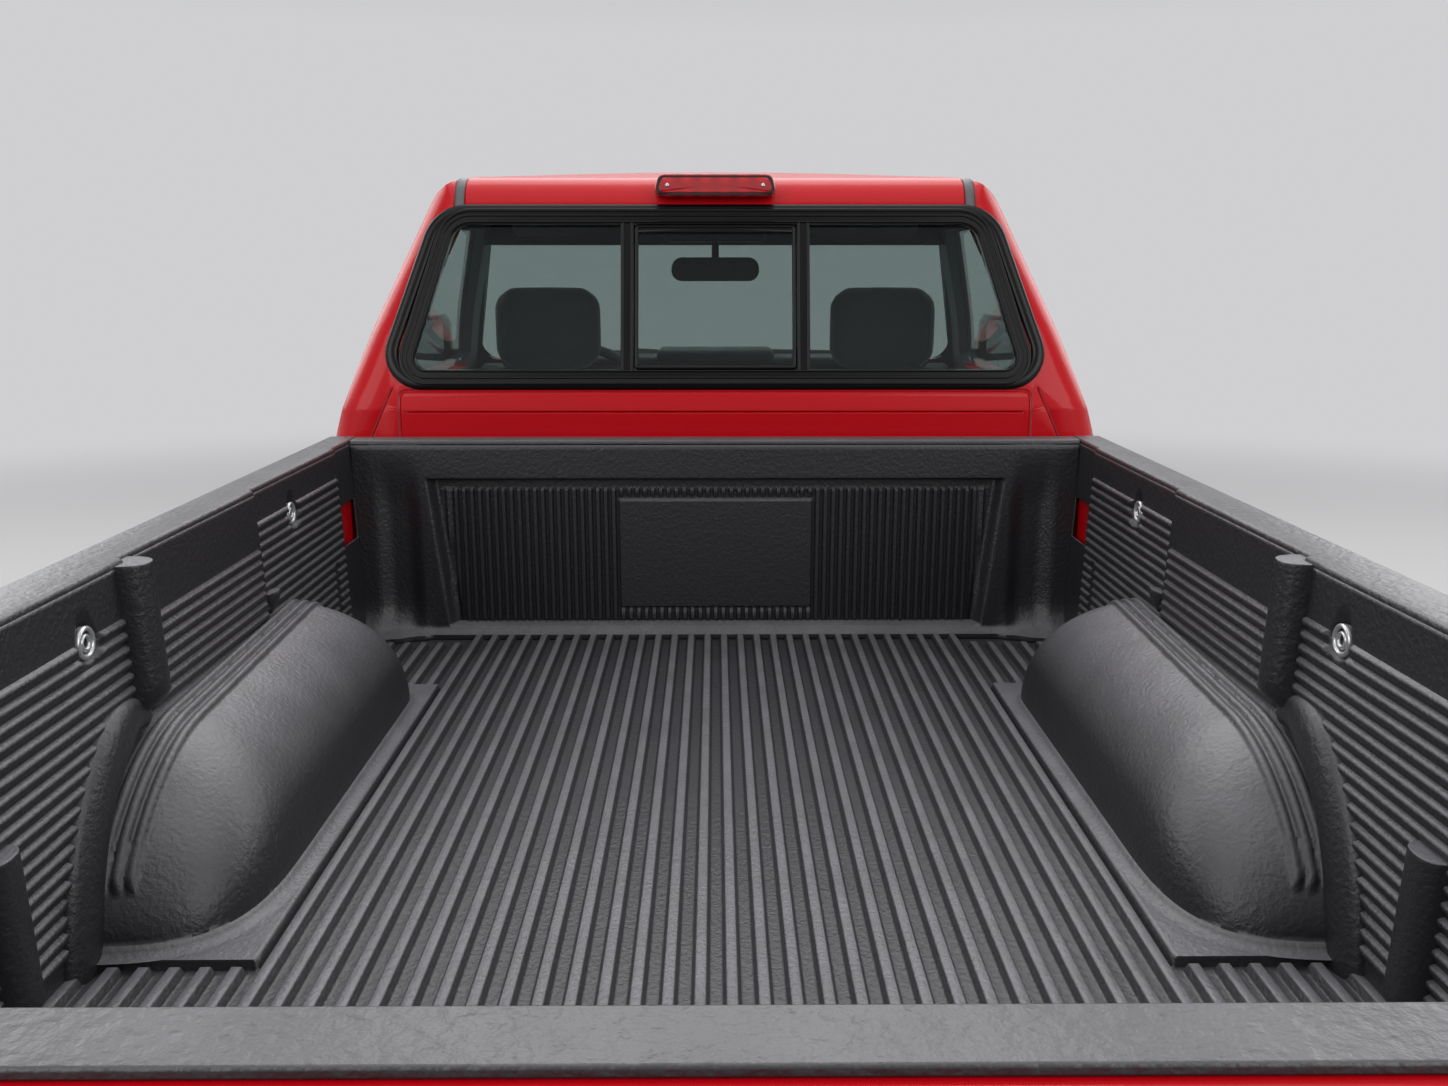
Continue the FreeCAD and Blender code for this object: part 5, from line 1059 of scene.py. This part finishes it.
def mirror_glass():
    """The silvered glass in the left door mirror's hollow."""
    low, high = ends("door_mirror_left")
    outline = rounded([(high[0] - 168, 1140, 14), (high[0] - 16, 1146, 26), (high[0] - 16, 1236, 26),
                       (high[0] - 168, 1244, 20)])
    face = high[1]
    return plate(outline, put_y, face - 11.5, face - 7, edge=1.5)


# Inside the cab


SEAT_X = 371.0
SEAT_BASE = CAB_REAR - 480
# pad: name, low corner, high corner, edge radius, how far it leans back per unit of height
SEAT_PADS = (
    ("cushion", (-235, SEAT_BASE - 478, 652), (235, SEAT_BASE + 20, 790), 55, -0.05),
    ("back", (-228, SEAT_BASE - 10, 715), (228, SEAT_BASE + 84, 1150), 44, 0.263),
    ("headrest", (-119, SEAT_BASE + 134, 1164), (119, SEAT_BASE + 220, 1343), 52, 0.0),
)
PAD_PRESSURE = 4.0
PAD_CAP = 12.0
PAD_FRAMES = 20


def pad_form(low, high, radius, lean):
    """A pad's starting form: a box with round edges, its sides drawn in at the ends, leaning back."""
    patches = []
    low, high = np.array(low, float), np.array(high, float)
    for points, quads in soft_box(low, high, radius, steps=6):
        p = points.copy()
        middle = (low + high) / 2
        half = (high - low) / 2
        share = (p - middle) / half
        p[:, 0] -= 10 * share[:, 0] * share[:, 2] ** 2
        p[:, 1] += lean * (p[:, 2] - low[2])
        p[:, 0] += SEAT_X
        patches.append((p, quads))
    return patches


def puff(made, pressure, cap, voxel=9.0):
    """Remeshes a pad and blows it up as cloth for twenty frames, each point moving no further than a cap."""
    context = bpy.context
    remesh = made.modifiers.new("remesh", "REMESH")
    remesh.mode = "VOXEL"
    remesh.voxel_size = voxel * MM
    mesh = bpy.data.meshes.new_from_object(made.evaluated_get(context.evaluated_depsgraph_get()))
    made.modifiers.clear()
    made.data = mesh
    count = len(mesh.vertices)
    before = np.empty(count * 3, np.float32)
    mesh.vertices.foreach_get("co", before)
    cloth = made.modifiers.new("cloth", "CLOTH")
    cloth.settings.use_pressure = True
    cloth.settings.uniform_pressure_force = pressure
    cloth.settings.effector_weights.gravity = 0.0
    cloth.point_cache.frame_start = 1
    cloth.point_cache.frame_end = PAD_FRAMES
    for number in range(1, PAD_FRAMES + 1):
        context.scene.frame_set(number)
    after_mesh = made.evaluated_get(context.evaluated_depsgraph_get()).to_mesh()
    after = np.empty(count * 3, np.float32)
    after_mesh.vertices.foreach_get("co", after)
    made.modifiers.clear()
    context.scene.frame_set(1)
    move = (after - before).reshape(-1, 3)
    far = np.maximum(np.linalg.norm(move, axis=1, keepdims=True), 1e-9)
    before = (before.reshape(-1, 3) + move * np.minimum(1, cap * MM / far)).ravel()
    return before.reshape(-1, 3) / MM


def sewn(points, facing, kind):
    """Channels sewn into a pad: grooves 4 mm deep along two upright lines and one level line."""
    across = points[:, 0] - SEAT_X
    groove = np.exp(-((np.abs(across) - 128) / 5) ** 2)
    if kind == "back":
        groove = np.maximum(groove, np.exp(-((points[:, 2] - 1085) / 5) ** 2) * (np.abs(across) < 128))
    if kind == "headrest":
        groove = 0.4 * np.exp(-((np.abs(across) - 96) / 4) ** 2)
    return points - facing * 4.0 * groove[:, None]


def wipers():
    """Two wiper arms and blades resting at the foot of the windshield."""
    glass = skin_of("cab_glass")
    made = []
    for near, far in ((60, 520), (-560, -100)):
        x = np.linspace(near, far, 14)
        z = 1128 + 0.02 * np.abs(x - near)
        starts = np.stack([x, np.full(14, -2400.0), z], axis=1)
        blade = on_skin(glass, starts, (0, 1, 0), 7.0)
        if len(blade) > 3:
            made += sweep(blade, circle(4.5, 8, 1.6), up=(0, -0.5, 1))
            knots = [blade[0] + (20, -70, -22), blade[2] + (0, -22, 6), blade[6] + (0, -9, 8)]
            arm = curve_through(knots, 14)
            made += sweep(arm, circle(5.0, 8), up=(0, -0.5, 1))
    return made


# Wheels


HUB_Z = 335.0
TYRE_RADIUS = 335.0
BEAD_RADIUS = 196.0
TREAD_PITCHES = 66


def tyre_surface():
    """A tyre about the X axis at the origin: radius and width along a profile round the section, and turned.
    The tread's radius drops 8 mm in three grooves that run round it and in cross cuts, one each pitch."""
    tread = np.array([-80, -76, -48, -44.5, -36.5, -33, -5, -3.5, 3.5, 5, 33, 36.5, 44.5, 48, 76, 80], float)
    crown = TYRE_RADIUS - 1.0 - 7.0 * (np.abs(tread) / 88) ** 2.6
    # side wall: radius, half-width
    wall = np.array([(313, 93), (300, 99.5), (288, 101.5), (284, 100.3), (280, 101.8), (258, 101.6),
                     (236, 98), (232, 96), (214, 88), (204, 80), (BEAD_RADIUS + 2, 75), (BEAD_RADIUS, 70)],
                    float)
    width = np.concatenate([-wall[::-1, 1], tread, wall[:, 1]])
    radius = np.concatenate([wall[::-1, 0], crown, wall[:, 0]])
    steps = np.array([0.0, 0.10, 0.14, 0.56, 0.60])
    turn = ((np.arange(TREAD_PITCHES)[:, None] + steps) / TREAD_PITCHES * 2 * math.pi).ravel()
    cut = np.tile(np.array([1.0, 1.0, 0.0, 0.0, 1.0]), TREAD_PITCHES)
    inside = np.abs(width) < 81
    groove = (np.abs(np.abs(width) - 40.5) < 4.2) & inside
    centre = np.abs(width) < 3.6
    drop = np.where(groove | centre, 8.0, 0.0)[None] * np.ones_like(turn)[:, None]
    # Cross cuts are open on the shoulders and shallower, half a pitch on, between the grooves
    shoulder = (np.abs(width) > 47) & inside
    middle = (np.abs(width) < 34) & ~centre
    other = np.roll(cut, 2)
    drop = np.maximum(drop, 7.0 * (1 - cut)[:, None] * shoulder)
    drop = np.maximum(drop, 3.0 * (1 - other)[:, None] * middle)
    r = radius[None] - drop
    points = np.stack([np.repeat(width[None], len(turn), axis=0), r * np.cos(turn)[:, None],
                       r * np.sin(turn)[:, None]], axis=-1)
    return grid(points, wrap_rows=True, flip=True)


def moved(patch, offset):
    return patch[0] + np.asarray(offset, float), patch[1]


# profiles of a wheel nut and of the grease cap: out from their foot, radius
NUT = np.array([(-4, 11.5), (6, 11.5), (8, 9), (16, 9), (18, 6), (18, 0.01)])
GREASE_CAP = np.array([(0, 30), (14, 30), (20, 27), (24, 18), (25.5, 0.01)])
NUTS = 6
NUT_CIRCLE = 70
HUB_FACE = 42


def wheel_fittings(side, x, y):
    """Six nuts on their circle and the grease cap, on the outer face of a wheel."""
    made = []
    face = x + side * HUB_FACE
    outwards = np.array([side, 1])
    for k in range(NUTS):
        a = 2 * math.pi * k / NUTS
        place = (face, y + NUT_CIRCLE * math.cos(a), HUB_Z + NUT_CIRCLE * math.sin(a))
        made.append(lathe(NUT * outwards, place, "X", steps=6, flip=side < 0))
    made.append(lathe(GREASE_CAP * outwards, (face - side * 4, y, HUB_Z), "X", steps=32, flip=side < 0))
    return made


# Lamps


def lamp_bowls():
    """The reflectors and bulbs of the left headlamp: parabolic bowls behind the lens."""
    low, high = ends("headlamps")
    z = (low[2] + high[2]) / 2
    t = np.linspace(0.08, 1, 9)
    bowl = np.stack([low[1] + 112 - 62 * t ** 2, 60 * t], axis=1)
    made = []
    for x in (470, 600):
        made.append(lathe(bowl, (x, 0, z), "Y", steps=36))
        bulb = np.stack([low[1] + 70 + 34 * t, 9 * np.sqrt(np.clip(1 - (1 - t) ** 2, 0, 1))], axis=1)
        made.append(lathe(bulb, (x, 0, z), "Y", steps=14))
    return made


def tail_segments():
    """Amber and white fields of the left tail lamp, thin plates let into the red lens."""
    low, high = ends("tail_lamps")
    made = []
    for share_low, share_high in ((0.68, 0.97), (0.36, 0.64)):
        z0 = low[2] + (high[2] - low[2]) * share_low
        z1 = low[2] + (high[2] - low[2]) * share_high
        outer = 792 - 0.16 * ((z0 + z1) / 2 - 700)
        outline = rounded([(745, z0, 5), (outer, z0, 5), (outer, z1, 5), (745, z1, 5)])
        made.append(plate(outline, put_y, high[1] - 3, high[1] + 0.6, edge=0.5))
    return made


# Underneath


SPRING_X = 560
# a U-bolt over a spring: across from the spring's middle, height
U_BOLT = ((-38, 255), (-38, 330), (-34, 376), (0, 392), (34, 376), (38, 330), (38, 255))


def spring_clamps():
    """U-bolts over the rear springs, and the plates under them."""
    axle_y = ends("rim_rear_left")[0][1] / 2 + ends("rim_rear_left")[1][1] / 2
    made = []
    for side in (-1, 1):
        x = side * SPRING_X
        for dy in (-45, 45):
            path = curve_through([(x + across, axle_y + dy, z) for across, z in U_BOLT], 24)
            made += sweep(path, circle(6, 8), up=(0, 1, 0))
        made += soft_box((x - 50, axle_y - 62, 258), (x + 50, axle_y + 62, 266), 3)
    return made


# Operators


def pair(name, patches, material, slot, bodies=("body", "body"), **options):
    """A left piece and its mirrored copy on the right."""
    left = piece(name + "_left", patches, material, body=bodies[0], slot=slot, **options)
    right = piece(name + "_right", mirrored(patches), material, body=bodies[1], slot=slot, **options)
    return left, right


class PICKUP_OT_liner(bpy.types.Operator):
    """Moulds the bed liner: floor, walls, humps, front wall and caps."""

    bl_idname = "pickup.liner"
    bl_label = "Bed Liner"

    def execute(self, context):
        liner = MATERIALS["liner"]
        floor = piece("liner_floor", [liner_floor()], liner, slot="liner", solid=4.0, sharp=60)
        wall = slot_cut(liner_wall())
        extras = [post(POST_AT, 54, 34, FLOOR_TOP + 198, RAIL_TOP - 5),
                  post(SHORT_POST_AT, 54, 22, FLOOR_TOP - 4, 850), lug()]
        pair("liner_wall", [wall], liner, "liner", solid=4.0, sharp=60)
        piece("liner_posts", [*extras, *mirrored(extras)], liner, slot="liner", sharp=50)
        hump = liner_hump()
        piece("liner_humps", [hump, *mirrored([hump])], liner, slot="liner", sharp=70)
        shoulder = liner_shoulder()
        piece("liner_shoulders", [*shoulder, *mirrored(shoulder)], liner, slot="liner", sharp=60)
        piece("liner_head", [liner_head()], liner, slot="liner", solid=4.0, sharp=60)
        piece("liner_caps", liner_caps(), MATERIALS["cap"], slot="liner", sharp=40)
        rings = [ring for at in STUDS for ring in stud_rings(at)]
        piece("stud_rings", [*rings, *mirrored(rings)], MATERIALS["bright_steel"], slot="chrome")
        wells = [well for at in STUDS for well in stud_wells(at)]
        piece("stud_wells", [*wells, *mirrored(wells)], MATERIALS["trim"], slot="trim")
        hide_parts("bed_liner")
        return {"FINISHED"}


# node: material, slot and edge bevel in millimetres
SKINS = {
    "cab_shell": ("paint", "paint", 2.0),
    "fenders_front": ("paint", "paint", 0.0),
    "nose_panel": ("paint", "paint", 1.5),
    "engine_bay": ("paint", "paint", 0.0),
    "hood": ("paint", "paint", 1.5),
    "bed_box": ("paint", "paint", 0.0),
    "tailgate": ("paint", "paint", 3.0),
    "door_left": ("paint", "paint", 1.5),
    "door_right": ("paint", "paint", 1.5),
    "tailgate_liner": ("cap", "liner", 2.0),
    "cab_glass": ("screen", "glass", 0.0),
    "door_glass_left": ("glass", "glass", 0.0),
    "door_glass_right": ("glass", "glass", 0.0),
    "rear_window_frame": ("window_rubber", "trim", 1.5),
    "grille": ("trim", "trim", 1.0),
    "headlamps": ("clear_lens", "lamp_clear", 0.0),
    "front_bumper": ("chrome", "chrome", 3.0),
    "rear_bumper": ("chrome", "chrome", 3.0),
    "tail_lamps": ("red_lens", "lamp_red", 2.0),
    "high_stop_lamp": ("red_lens", "lamp_red", 3.0),
    "chassis_frame": ("chassis", "frame_black", 2.0),
    "leaf_springs": ("steel", "steel", 0.0),
    "rear_axle": ("chassis", "frame_black", 0.0),
    "engine_block": ("iron", "iron", 3.0),
    "exhaust": ("steel", "steel", 0.0),
    "fuel_tank": ("chassis", "frame_black", 0.0),
    "front_suspension": ("chassis", "frame_black", 1.0),
    "dashboard": ("dash", "dash", 2.0),
    "steering_wheel": ("dash", "dash", 0.0),
    "interior_mirror": ("trim", "mirror", 1.0),
    "spare_wheel": ("rubber", "tyre", 0.0),
    "door_mirror_left": ("trim", "mirror", 2.0),
    "door_mirror_right": ("trim", "mirror", 2.0),
    "knuckle_left": ("iron", "iron", 0.0),
    "knuckle_right": ("iron", "iron", 0.0),
}
LINED = {"cab_shell": (0, CAB_REAR - 560, 1050), "door_left": (0, CAB_REAR - 760, 900),
         "door_right": (0, CAB_REAR - 760, 900)}


class PICKUP_OT_panels(bpy.types.Operator):
    """Gives the truck's panels, glass, frame and running gear their finishes."""

    bl_idname = "pickup.panels"
    bl_label = "Panels And Frame"

    def execute(self, context):
        for node, (material, slot, edge) in SKINS.items():
            made = dress(node, MATERIALS[material], edge=edge)
            if node in LINED:
                line_inside(made, LINED[node], MATERIALS["lining"])
        return {"FINISHED"}


class PICKUP_OT_cab_trim(bpy.types.Operator):
    """Fits the cab's rear window rubber, stop lamp lens, roof mouldings, door trim, mirrors and wipers."""

    bl_idname = "pickup.cab_trim"
    bl_label = "Cab Trim"

    def execute(self, context):
        piece("window_rubber", window_beads(), MATERIALS["window_rubber"], slot="trim", outward=True)
        strips = roof_strips()
        piece("roof_strips", [*strips, *mirrored(strips)], MATERIALS["strip"], slot="trim", outward=True)
        z, y = STOP_LAMP
        piece("stop_lamp_lens", stop_lamp_lens(), MATERIALS["red_lens"], slot="lamp_red", outward=True)
        heads = screws([(-96, y + 2.3, z), (96, y + 2.3, z)], "Y")
        piece("stop_lamp_screws", heads, MATERIALS["chrome"], slot="chrome", outward=True)
        rim = rounded([(-123, z - 20, 13), (123, z - 20, 13), (112.5, z + 19.5, 14), (-112.5, z + 19.5, 14)])
        gasket = plate(rim, put_y, y - 6, y + 1, edge=1.0)
        piece("stop_lamp_gasket", gasket, MATERIALS["trim"], slot="trim", outward=True)
        bodies = ("door_left", "door_right")
        pair("door_trim", door_trim(), MATERIALS["trim"], "trim", bodies, outward=True)
        pair("mirror_glass", mirror_glass(), MATERIALS["mirror"], "mirror", bodies, outward=True)
        piece("wipers", wipers(), MATERIALS["trim"], slot="trim", outward=True)
        return {"FINISHED"}


class PICKUP_OT_interior(bpy.types.Operator):
    """Upholsters the seats and fits the sun visors and the dashboard's panel."""

    bl_idname = "pickup.interior"
    bl_label = "Cab Interior"

    def execute(self, context):
        for name, low, high, radius, lean in SEAT_PADS:
            form = pad_form(low, high, radius, lean)
            start = piece("seat_" + name + "_left", form, MATERIALS["cloth"], slot="cloth")
            points = puff(start, PAD_PRESSURE, PAD_CAP)
            mesh = start.data
            facing = np.empty(len(points) * 3, np.float32)
            mesh.vertex_normals.foreach_get("vector", facing)
            points = sewn(points, facing.reshape(-1, 3), name)
            mesh.vertices.foreach_set("co", (points * MM).astype(np.float32).ravel())
            mesh.materials.clear()
            mesh.materials.append(MATERIALS["cloth"])
            mesh.shade_smooth()
            mesh.update()
            twin_mesh = mesh.copy()
            twin_points = points.copy()
            twin_points[:, 0] -= 2 * SEAT_X
            twin_mesh.vertices.foreach_set("co", (twin_points * MM).astype(np.float32).ravel())
            twin_mesh.update()
            twin = bpy.data.objects.new("seat_" + name + "_right", twin_mesh)
            context.scene.collection.objects.link(twin)
            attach(twin, "body")
            for made in (start, twin):
                # The headrests stand right behind the rear window, so only they are divided once more
                if name == "headrest":
                    detail = made.modifiers.new("detail", "SUBSURF")
                    detail.levels = 1
                    detail.render_levels = 1
                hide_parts("seats")
        plinths = soft_box((SEAT_X - 190, SEAT_BASE - 420, 546), (SEAT_X + 190, SEAT_BASE - 20, 662), 12)
        posts = []
        for x in (SEAT_X - 48, SEAT_X + 48):
            posts += soft_box((x - 6, SEAT_BASE + 168, 1120), (x + 6, SEAT_BASE + 180, 1190), 5)
        made = piece("seat_plinths", [*plinths, *mirrored(plinths)], MATERIALS["dash"], slot="dash",
                     outward=True)
        piece("headrest_posts", [*posts, *mirrored(posts)], MATERIALS["steel"], slot="steel", outward=True)
        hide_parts("seats")
        visors = soft_box((40, CAB_REAR - 760, 1498), (500, CAB_REAR - 600, 1510), 5)
        slope = [0.0, 0.0, 0.35]
        tilt = [(points + (points[:, 1:2] - CAB_REAR + 600) * slope, quads) for points, quads in visors]
        header = soft_box((-590, CAB_REAR - 724, 1440), (590, CAB_REAR - 706, 1520), 6)
        console = soft_box((-125, CAB_REAR - 706, 1446), (125, CAB_REAR - 560, 1500), 16)
        piece("roof_header", [*header, *console], MATERIALS["dash"], slot="dash", outward=True)
        pad = soft_box((-610, CAB_REAR - 1245, 1108), (610, CAB_REAR - 1080, 1134), 11, steps=4)
        hood = soft_box((-168, CAB_REAR - 1215, 1116), (168, CAB_REAR - 1060, 1157), 18, steps=4)
        piece("dash_pad", [*pad, *hood], MATERIALS["dash"], slot="dash", outward=True)
        piece("sun_visors", [*tilt, *mirrored(tilt)], MATERIALS["lining"], slot="dash", outward=True)
        return {"FINISHED"}


class PICKUP_OT_wheels(bpy.types.Operator):
    """Treads the tyres and bolts the wheels on."""

    bl_idname = "pickup.wheels"
    bl_label = "Wheels"

    def execute(self, context):
        tyre = tyre_surface()
        for corner in ("front_left", "front_right", "rear_left", "rear_right"):
            low, high = ends("tyre_" + corner)
            x, y = (low[0] + high[0]) / 2, (low[1] + high[1]) / 2
            body = BODY_OF["tyre_" + corner]
            made = piece("tread_" + corner, [moved(tyre, (x, y, HUB_Z))], MATERIALS["rubber"], body=body,
                         slot="tyre", sharp=30)
            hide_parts("tyre_" + corner)
            dress("rim_" + corner, MATERIALS["alloy"])
            side = 1 if x > 0 else -1
            piece("wheel_nuts_" + corner, wheel_fittings(side, x, y), MATERIALS["chrome"], body=body,
                  slot="chrome", outward=True)
        return {"FINISHED"}


class PICKUP_OT_lamps(bpy.types.Operator):
    """Fits the headlamps' bowls and the tail lamps' fields."""

    bl_idname = "pickup.lamps"
    bl_label = "Lamps"

    def execute(self, context):
        amber, white = tail_segments()
        for name, patches, material, slot in (("lamp_bowls", lamp_bowls(), "chrome", "chrome"),
                                              ("turn_fields", amber, "amber_lens", "lamp_red"),
                                              ("reverse_fields", white, "white_lens", "lamp_clear")):
            piece(name, [*patches, *mirrored(patches)], MATERIALS[material], slot=slot, outward=True)
        piece("spring_clamps", spring_clamps(), MATERIALS["steel"], slot="steel", outward=True)
        return {"FINISHED"}


# Stage


CAMERA_BEHIND_BED_FRONT = 2403.0
CAMERA_HEIGHT = 1392.0
CAMERA_PITCH = 12.64
CAMERA_YAW = 0.393
FOCAL_PIXELS = 1240.0
PHOTO_WIDTH = 1448.0
SENSOR = 36.0
FLOOR_REACH = 40000.0
BACKDROP = "#CFCFD1"
# lamp: name, place, point it faces, side of its square, power in watts
LAMPS = (
    ("overhead", (0, 1250, 4800), (0, 1150, 600), 5200, 98),
    ("rear_left", (4400, 5400, 3700), (0, 300, 1100), 4400, 165),
    ("rear_right", (-4400, 5400, 3700), (0, 300, 1100), 4400, 165),
    ("ahead", (0, -3000, 5200), (0, 1300, 700), 4400, 190),
    ("wing_left", (5200, -3000, 3900), (0, 900, 900), 4400, 155),
    ("wing_right", (-5200, -3000, 3900), (0, 900, 900), 4400, 155),
)


def lamp(name, at, target, size, power):
    """A soft square lamp that faces its target; places in millimetres."""
    data = bpy.data.lights.new(name, "AREA")
    data.size = size * MM
    data.energy = power
    made = bpy.data.objects.new(name, data)
    made.location = np.array(at) * MM
    away = np.array(target, float) - np.array(at, float)
    made.rotation_euler = Vector(away).to_track_quat("-Z", "Y").to_euler()
    made.visible_camera = False
    bpy.context.scene.collection.objects.link(made)
    return made


def pale_floor():
    """Matt pale floor: it takes the truck's shadow, and away from the truck it runs into the backdrop with
    no edge."""
    material, tree, shader, place = blank("pale_floor")
    settle(shader, {"Base Color": linear("#B9B9BA"), "Roughness": 0.8})
    away = add(tree, "ShaderNodeVectorMath", {"operation": "LENGTH"}, {0: place["Object"]})
    far = add(tree, "ShaderNodeMapRange",
              {"From Min": 3.2, "From Max": 9.0, "interpolation_type": "SMOOTHSTEP"},
              {"Value": away.outputs["Value"]})
    glow = add(tree, "ShaderNodeEmission", {"Color": linear(BACKDROP)})
    path = add(tree, "ShaderNodeLightPath")
    seen = add(tree, "ShaderNodeMath", {"operation": "SUBTRACT", 0: 1.0}, {1: path.outputs["Is Diffuse Ray"]})
    both = add(tree, "ShaderNodeMath", {"operation": "MULTIPLY"}, {0: far.outputs[0], 1: seen.outputs[0]})
    mix = add(tree, "ShaderNodeMixShader", {},
              {0: both.outputs[0], 1: shader.outputs[0], 2: glow.outputs[0]})
    tree.links.new(mix.outputs[0], tree.nodes["Material Output"].inputs["Surface"])
    corners = np.array([[[-1, -1, 0], [-1, 1, 0]], [[1, -1, 0], [1, 1, 0]]]) * FLOOR_REACH
    points, quads = grid(corners)
    mesh = bpy.data.meshes.new("studio_floor")
    mesh.from_pydata((points * MM).tolist(), [], quads[:, ::-1].tolist())
    mesh.materials.append(material)
    ground = bpy.data.objects.new("studio_floor", mesh)
    bpy.context.scene.collection.objects.link(ground)


def studio_world():
    """Even light from all round, and the backdrop that the camera, metal and glass see: pale at eye level,
    greyer overhead."""
    world = bpy.data.worlds.new("studio_world")
    bpy.context.scene.world = world
    world.use_nodes = True
    tree = world.node_tree
    back = tree.nodes["Background"]
    settle(back, {"Color": linear("#FFFFFF"), "Strength": 0.24})
    toward = add(tree, "ShaderNodeTexCoord")
    height = add(tree, "ShaderNodeSeparateXYZ", {}, {0: toward.outputs["Generated"]})
    rise = add(tree, "ShaderNodeMapRange", {"From Min": 0.17, "From Max": 0.6},
               {"Value": height.outputs["Z"]})
    tone = blend(tree, rise.outputs[0], BACKDROP, "#66666A")
    seen = add(tree, "ShaderNodeBackground", {"Strength": 1.0}, {"Color": tone})
    path = add(tree, "ShaderNodeLightPath")
    ray = path.outputs["Is Camera Ray"]
    for kind in ("Is Glossy Ray", "Is Transmission Ray"):
        either = add(tree, "ShaderNodeMath", {"operation": "MAXIMUM"}, {0: ray, 1: path.outputs[kind]})
        ray = either.outputs[0]
    mix = add(tree, "ShaderNodeMixShader", {}, {0: ray, 1: back.outputs[0], 2: seen.outputs[0]})
    tree.links.new(mix.outputs[0], tree.nodes["World Output"].inputs["Surface"])


def photo_camera():
    """The camera at the photograph's place and angle."""
    data = bpy.data.cameras.new("photo_camera")
    data.sensor_width = SENSOR
    data.lens = SENSOR * FOCAL_PIXELS / PHOTO_WIDTH
    data.clip_end = 200
    camera = bpy.data.objects.new("photo_camera", data)
    camera.location = (0, (BED_FRONT + CAMERA_BEHIND_BED_FRONT) * MM, CAMERA_HEIGHT * MM)
    camera.rotation_euler = (math.radians(90 - CAMERA_PITCH), 0, math.radians(180 - CAMERA_YAW))
    bpy.context.scene.collection.objects.link(camera)
    bpy.context.scene.camera = camera


class PICKUP_OT_stage(bpy.types.Operator):
    """Sets the pale floor, the soft light and the camera."""

    bl_idname = "pickup.stage"
    bl_label = "Stage"

    def execute(self, context):
        context.scene.view_settings.view_transform = "Standard"
        pale_floor()
        studio_world()
        for name, at, target, size, power in LAMPS:
            lamp(name, at, target, size, power)
        photo_camera()
        return {"FINISHED"}


class PICKUP_PT_panel(bpy.types.Panel):
    """Lists the truck's pieces in the sidebar."""

    bl_label = "Pickup Truck"
    bl_idname = "PICKUP_PT_panel"
    bl_space_type = "VIEW_3D"
    bl_region_type = "UI"
    bl_category = "Pickup"

    def draw(self, context):
        for operator in OPERATORS:
            self.layout.operator(operator.bl_idname)
        for group in (context.scene.pickup_liner, context.scene.pickup_colours):
            for name in group.bl_rna.properties.keys():
                if name not in ("rna_type", "name"):
                    self.layout.prop(group, name)


OPERATORS = (PICKUP_OT_panels, PICKUP_OT_liner, PICKUP_OT_cab_trim, PICKUP_OT_interior, PICKUP_OT_wheels,
             PICKUP_OT_lamps, PICKUP_OT_stage)
GROUPS = (PickupLinerSizes, PickupColours)


def register():
    for kind in (*GROUPS, *OPERATORS, PICKUP_PT_panel):
        bpy.utils.register_class(kind)
    bpy.types.Scene.pickup_liner = bpy.props.PointerProperty(type=PickupLinerSizes)
    bpy.types.Scene.pickup_colours = bpy.props.PointerProperty(type=PickupColours)


def unregister():
    del bpy.types.Scene.pickup_colours
    del bpy.types.Scene.pickup_liner
    for kind in reversed((*GROUPS, *OPERATORS, PICKUP_PT_panel)):
        bpy.utils.unregister_class(kind)


def main():
    register()
    make_materials()
    bpy.ops.pickup.panels()
    bpy.ops.pickup.liner()
    bpy.ops.pickup.cab_trim()
    bpy.ops.pickup.interior()
    bpy.ops.pickup.wheels()
    bpy.ops.pickup.lamps()
    bpy.ops.pickup.stage()


if __name__ == "__main__":
    main()
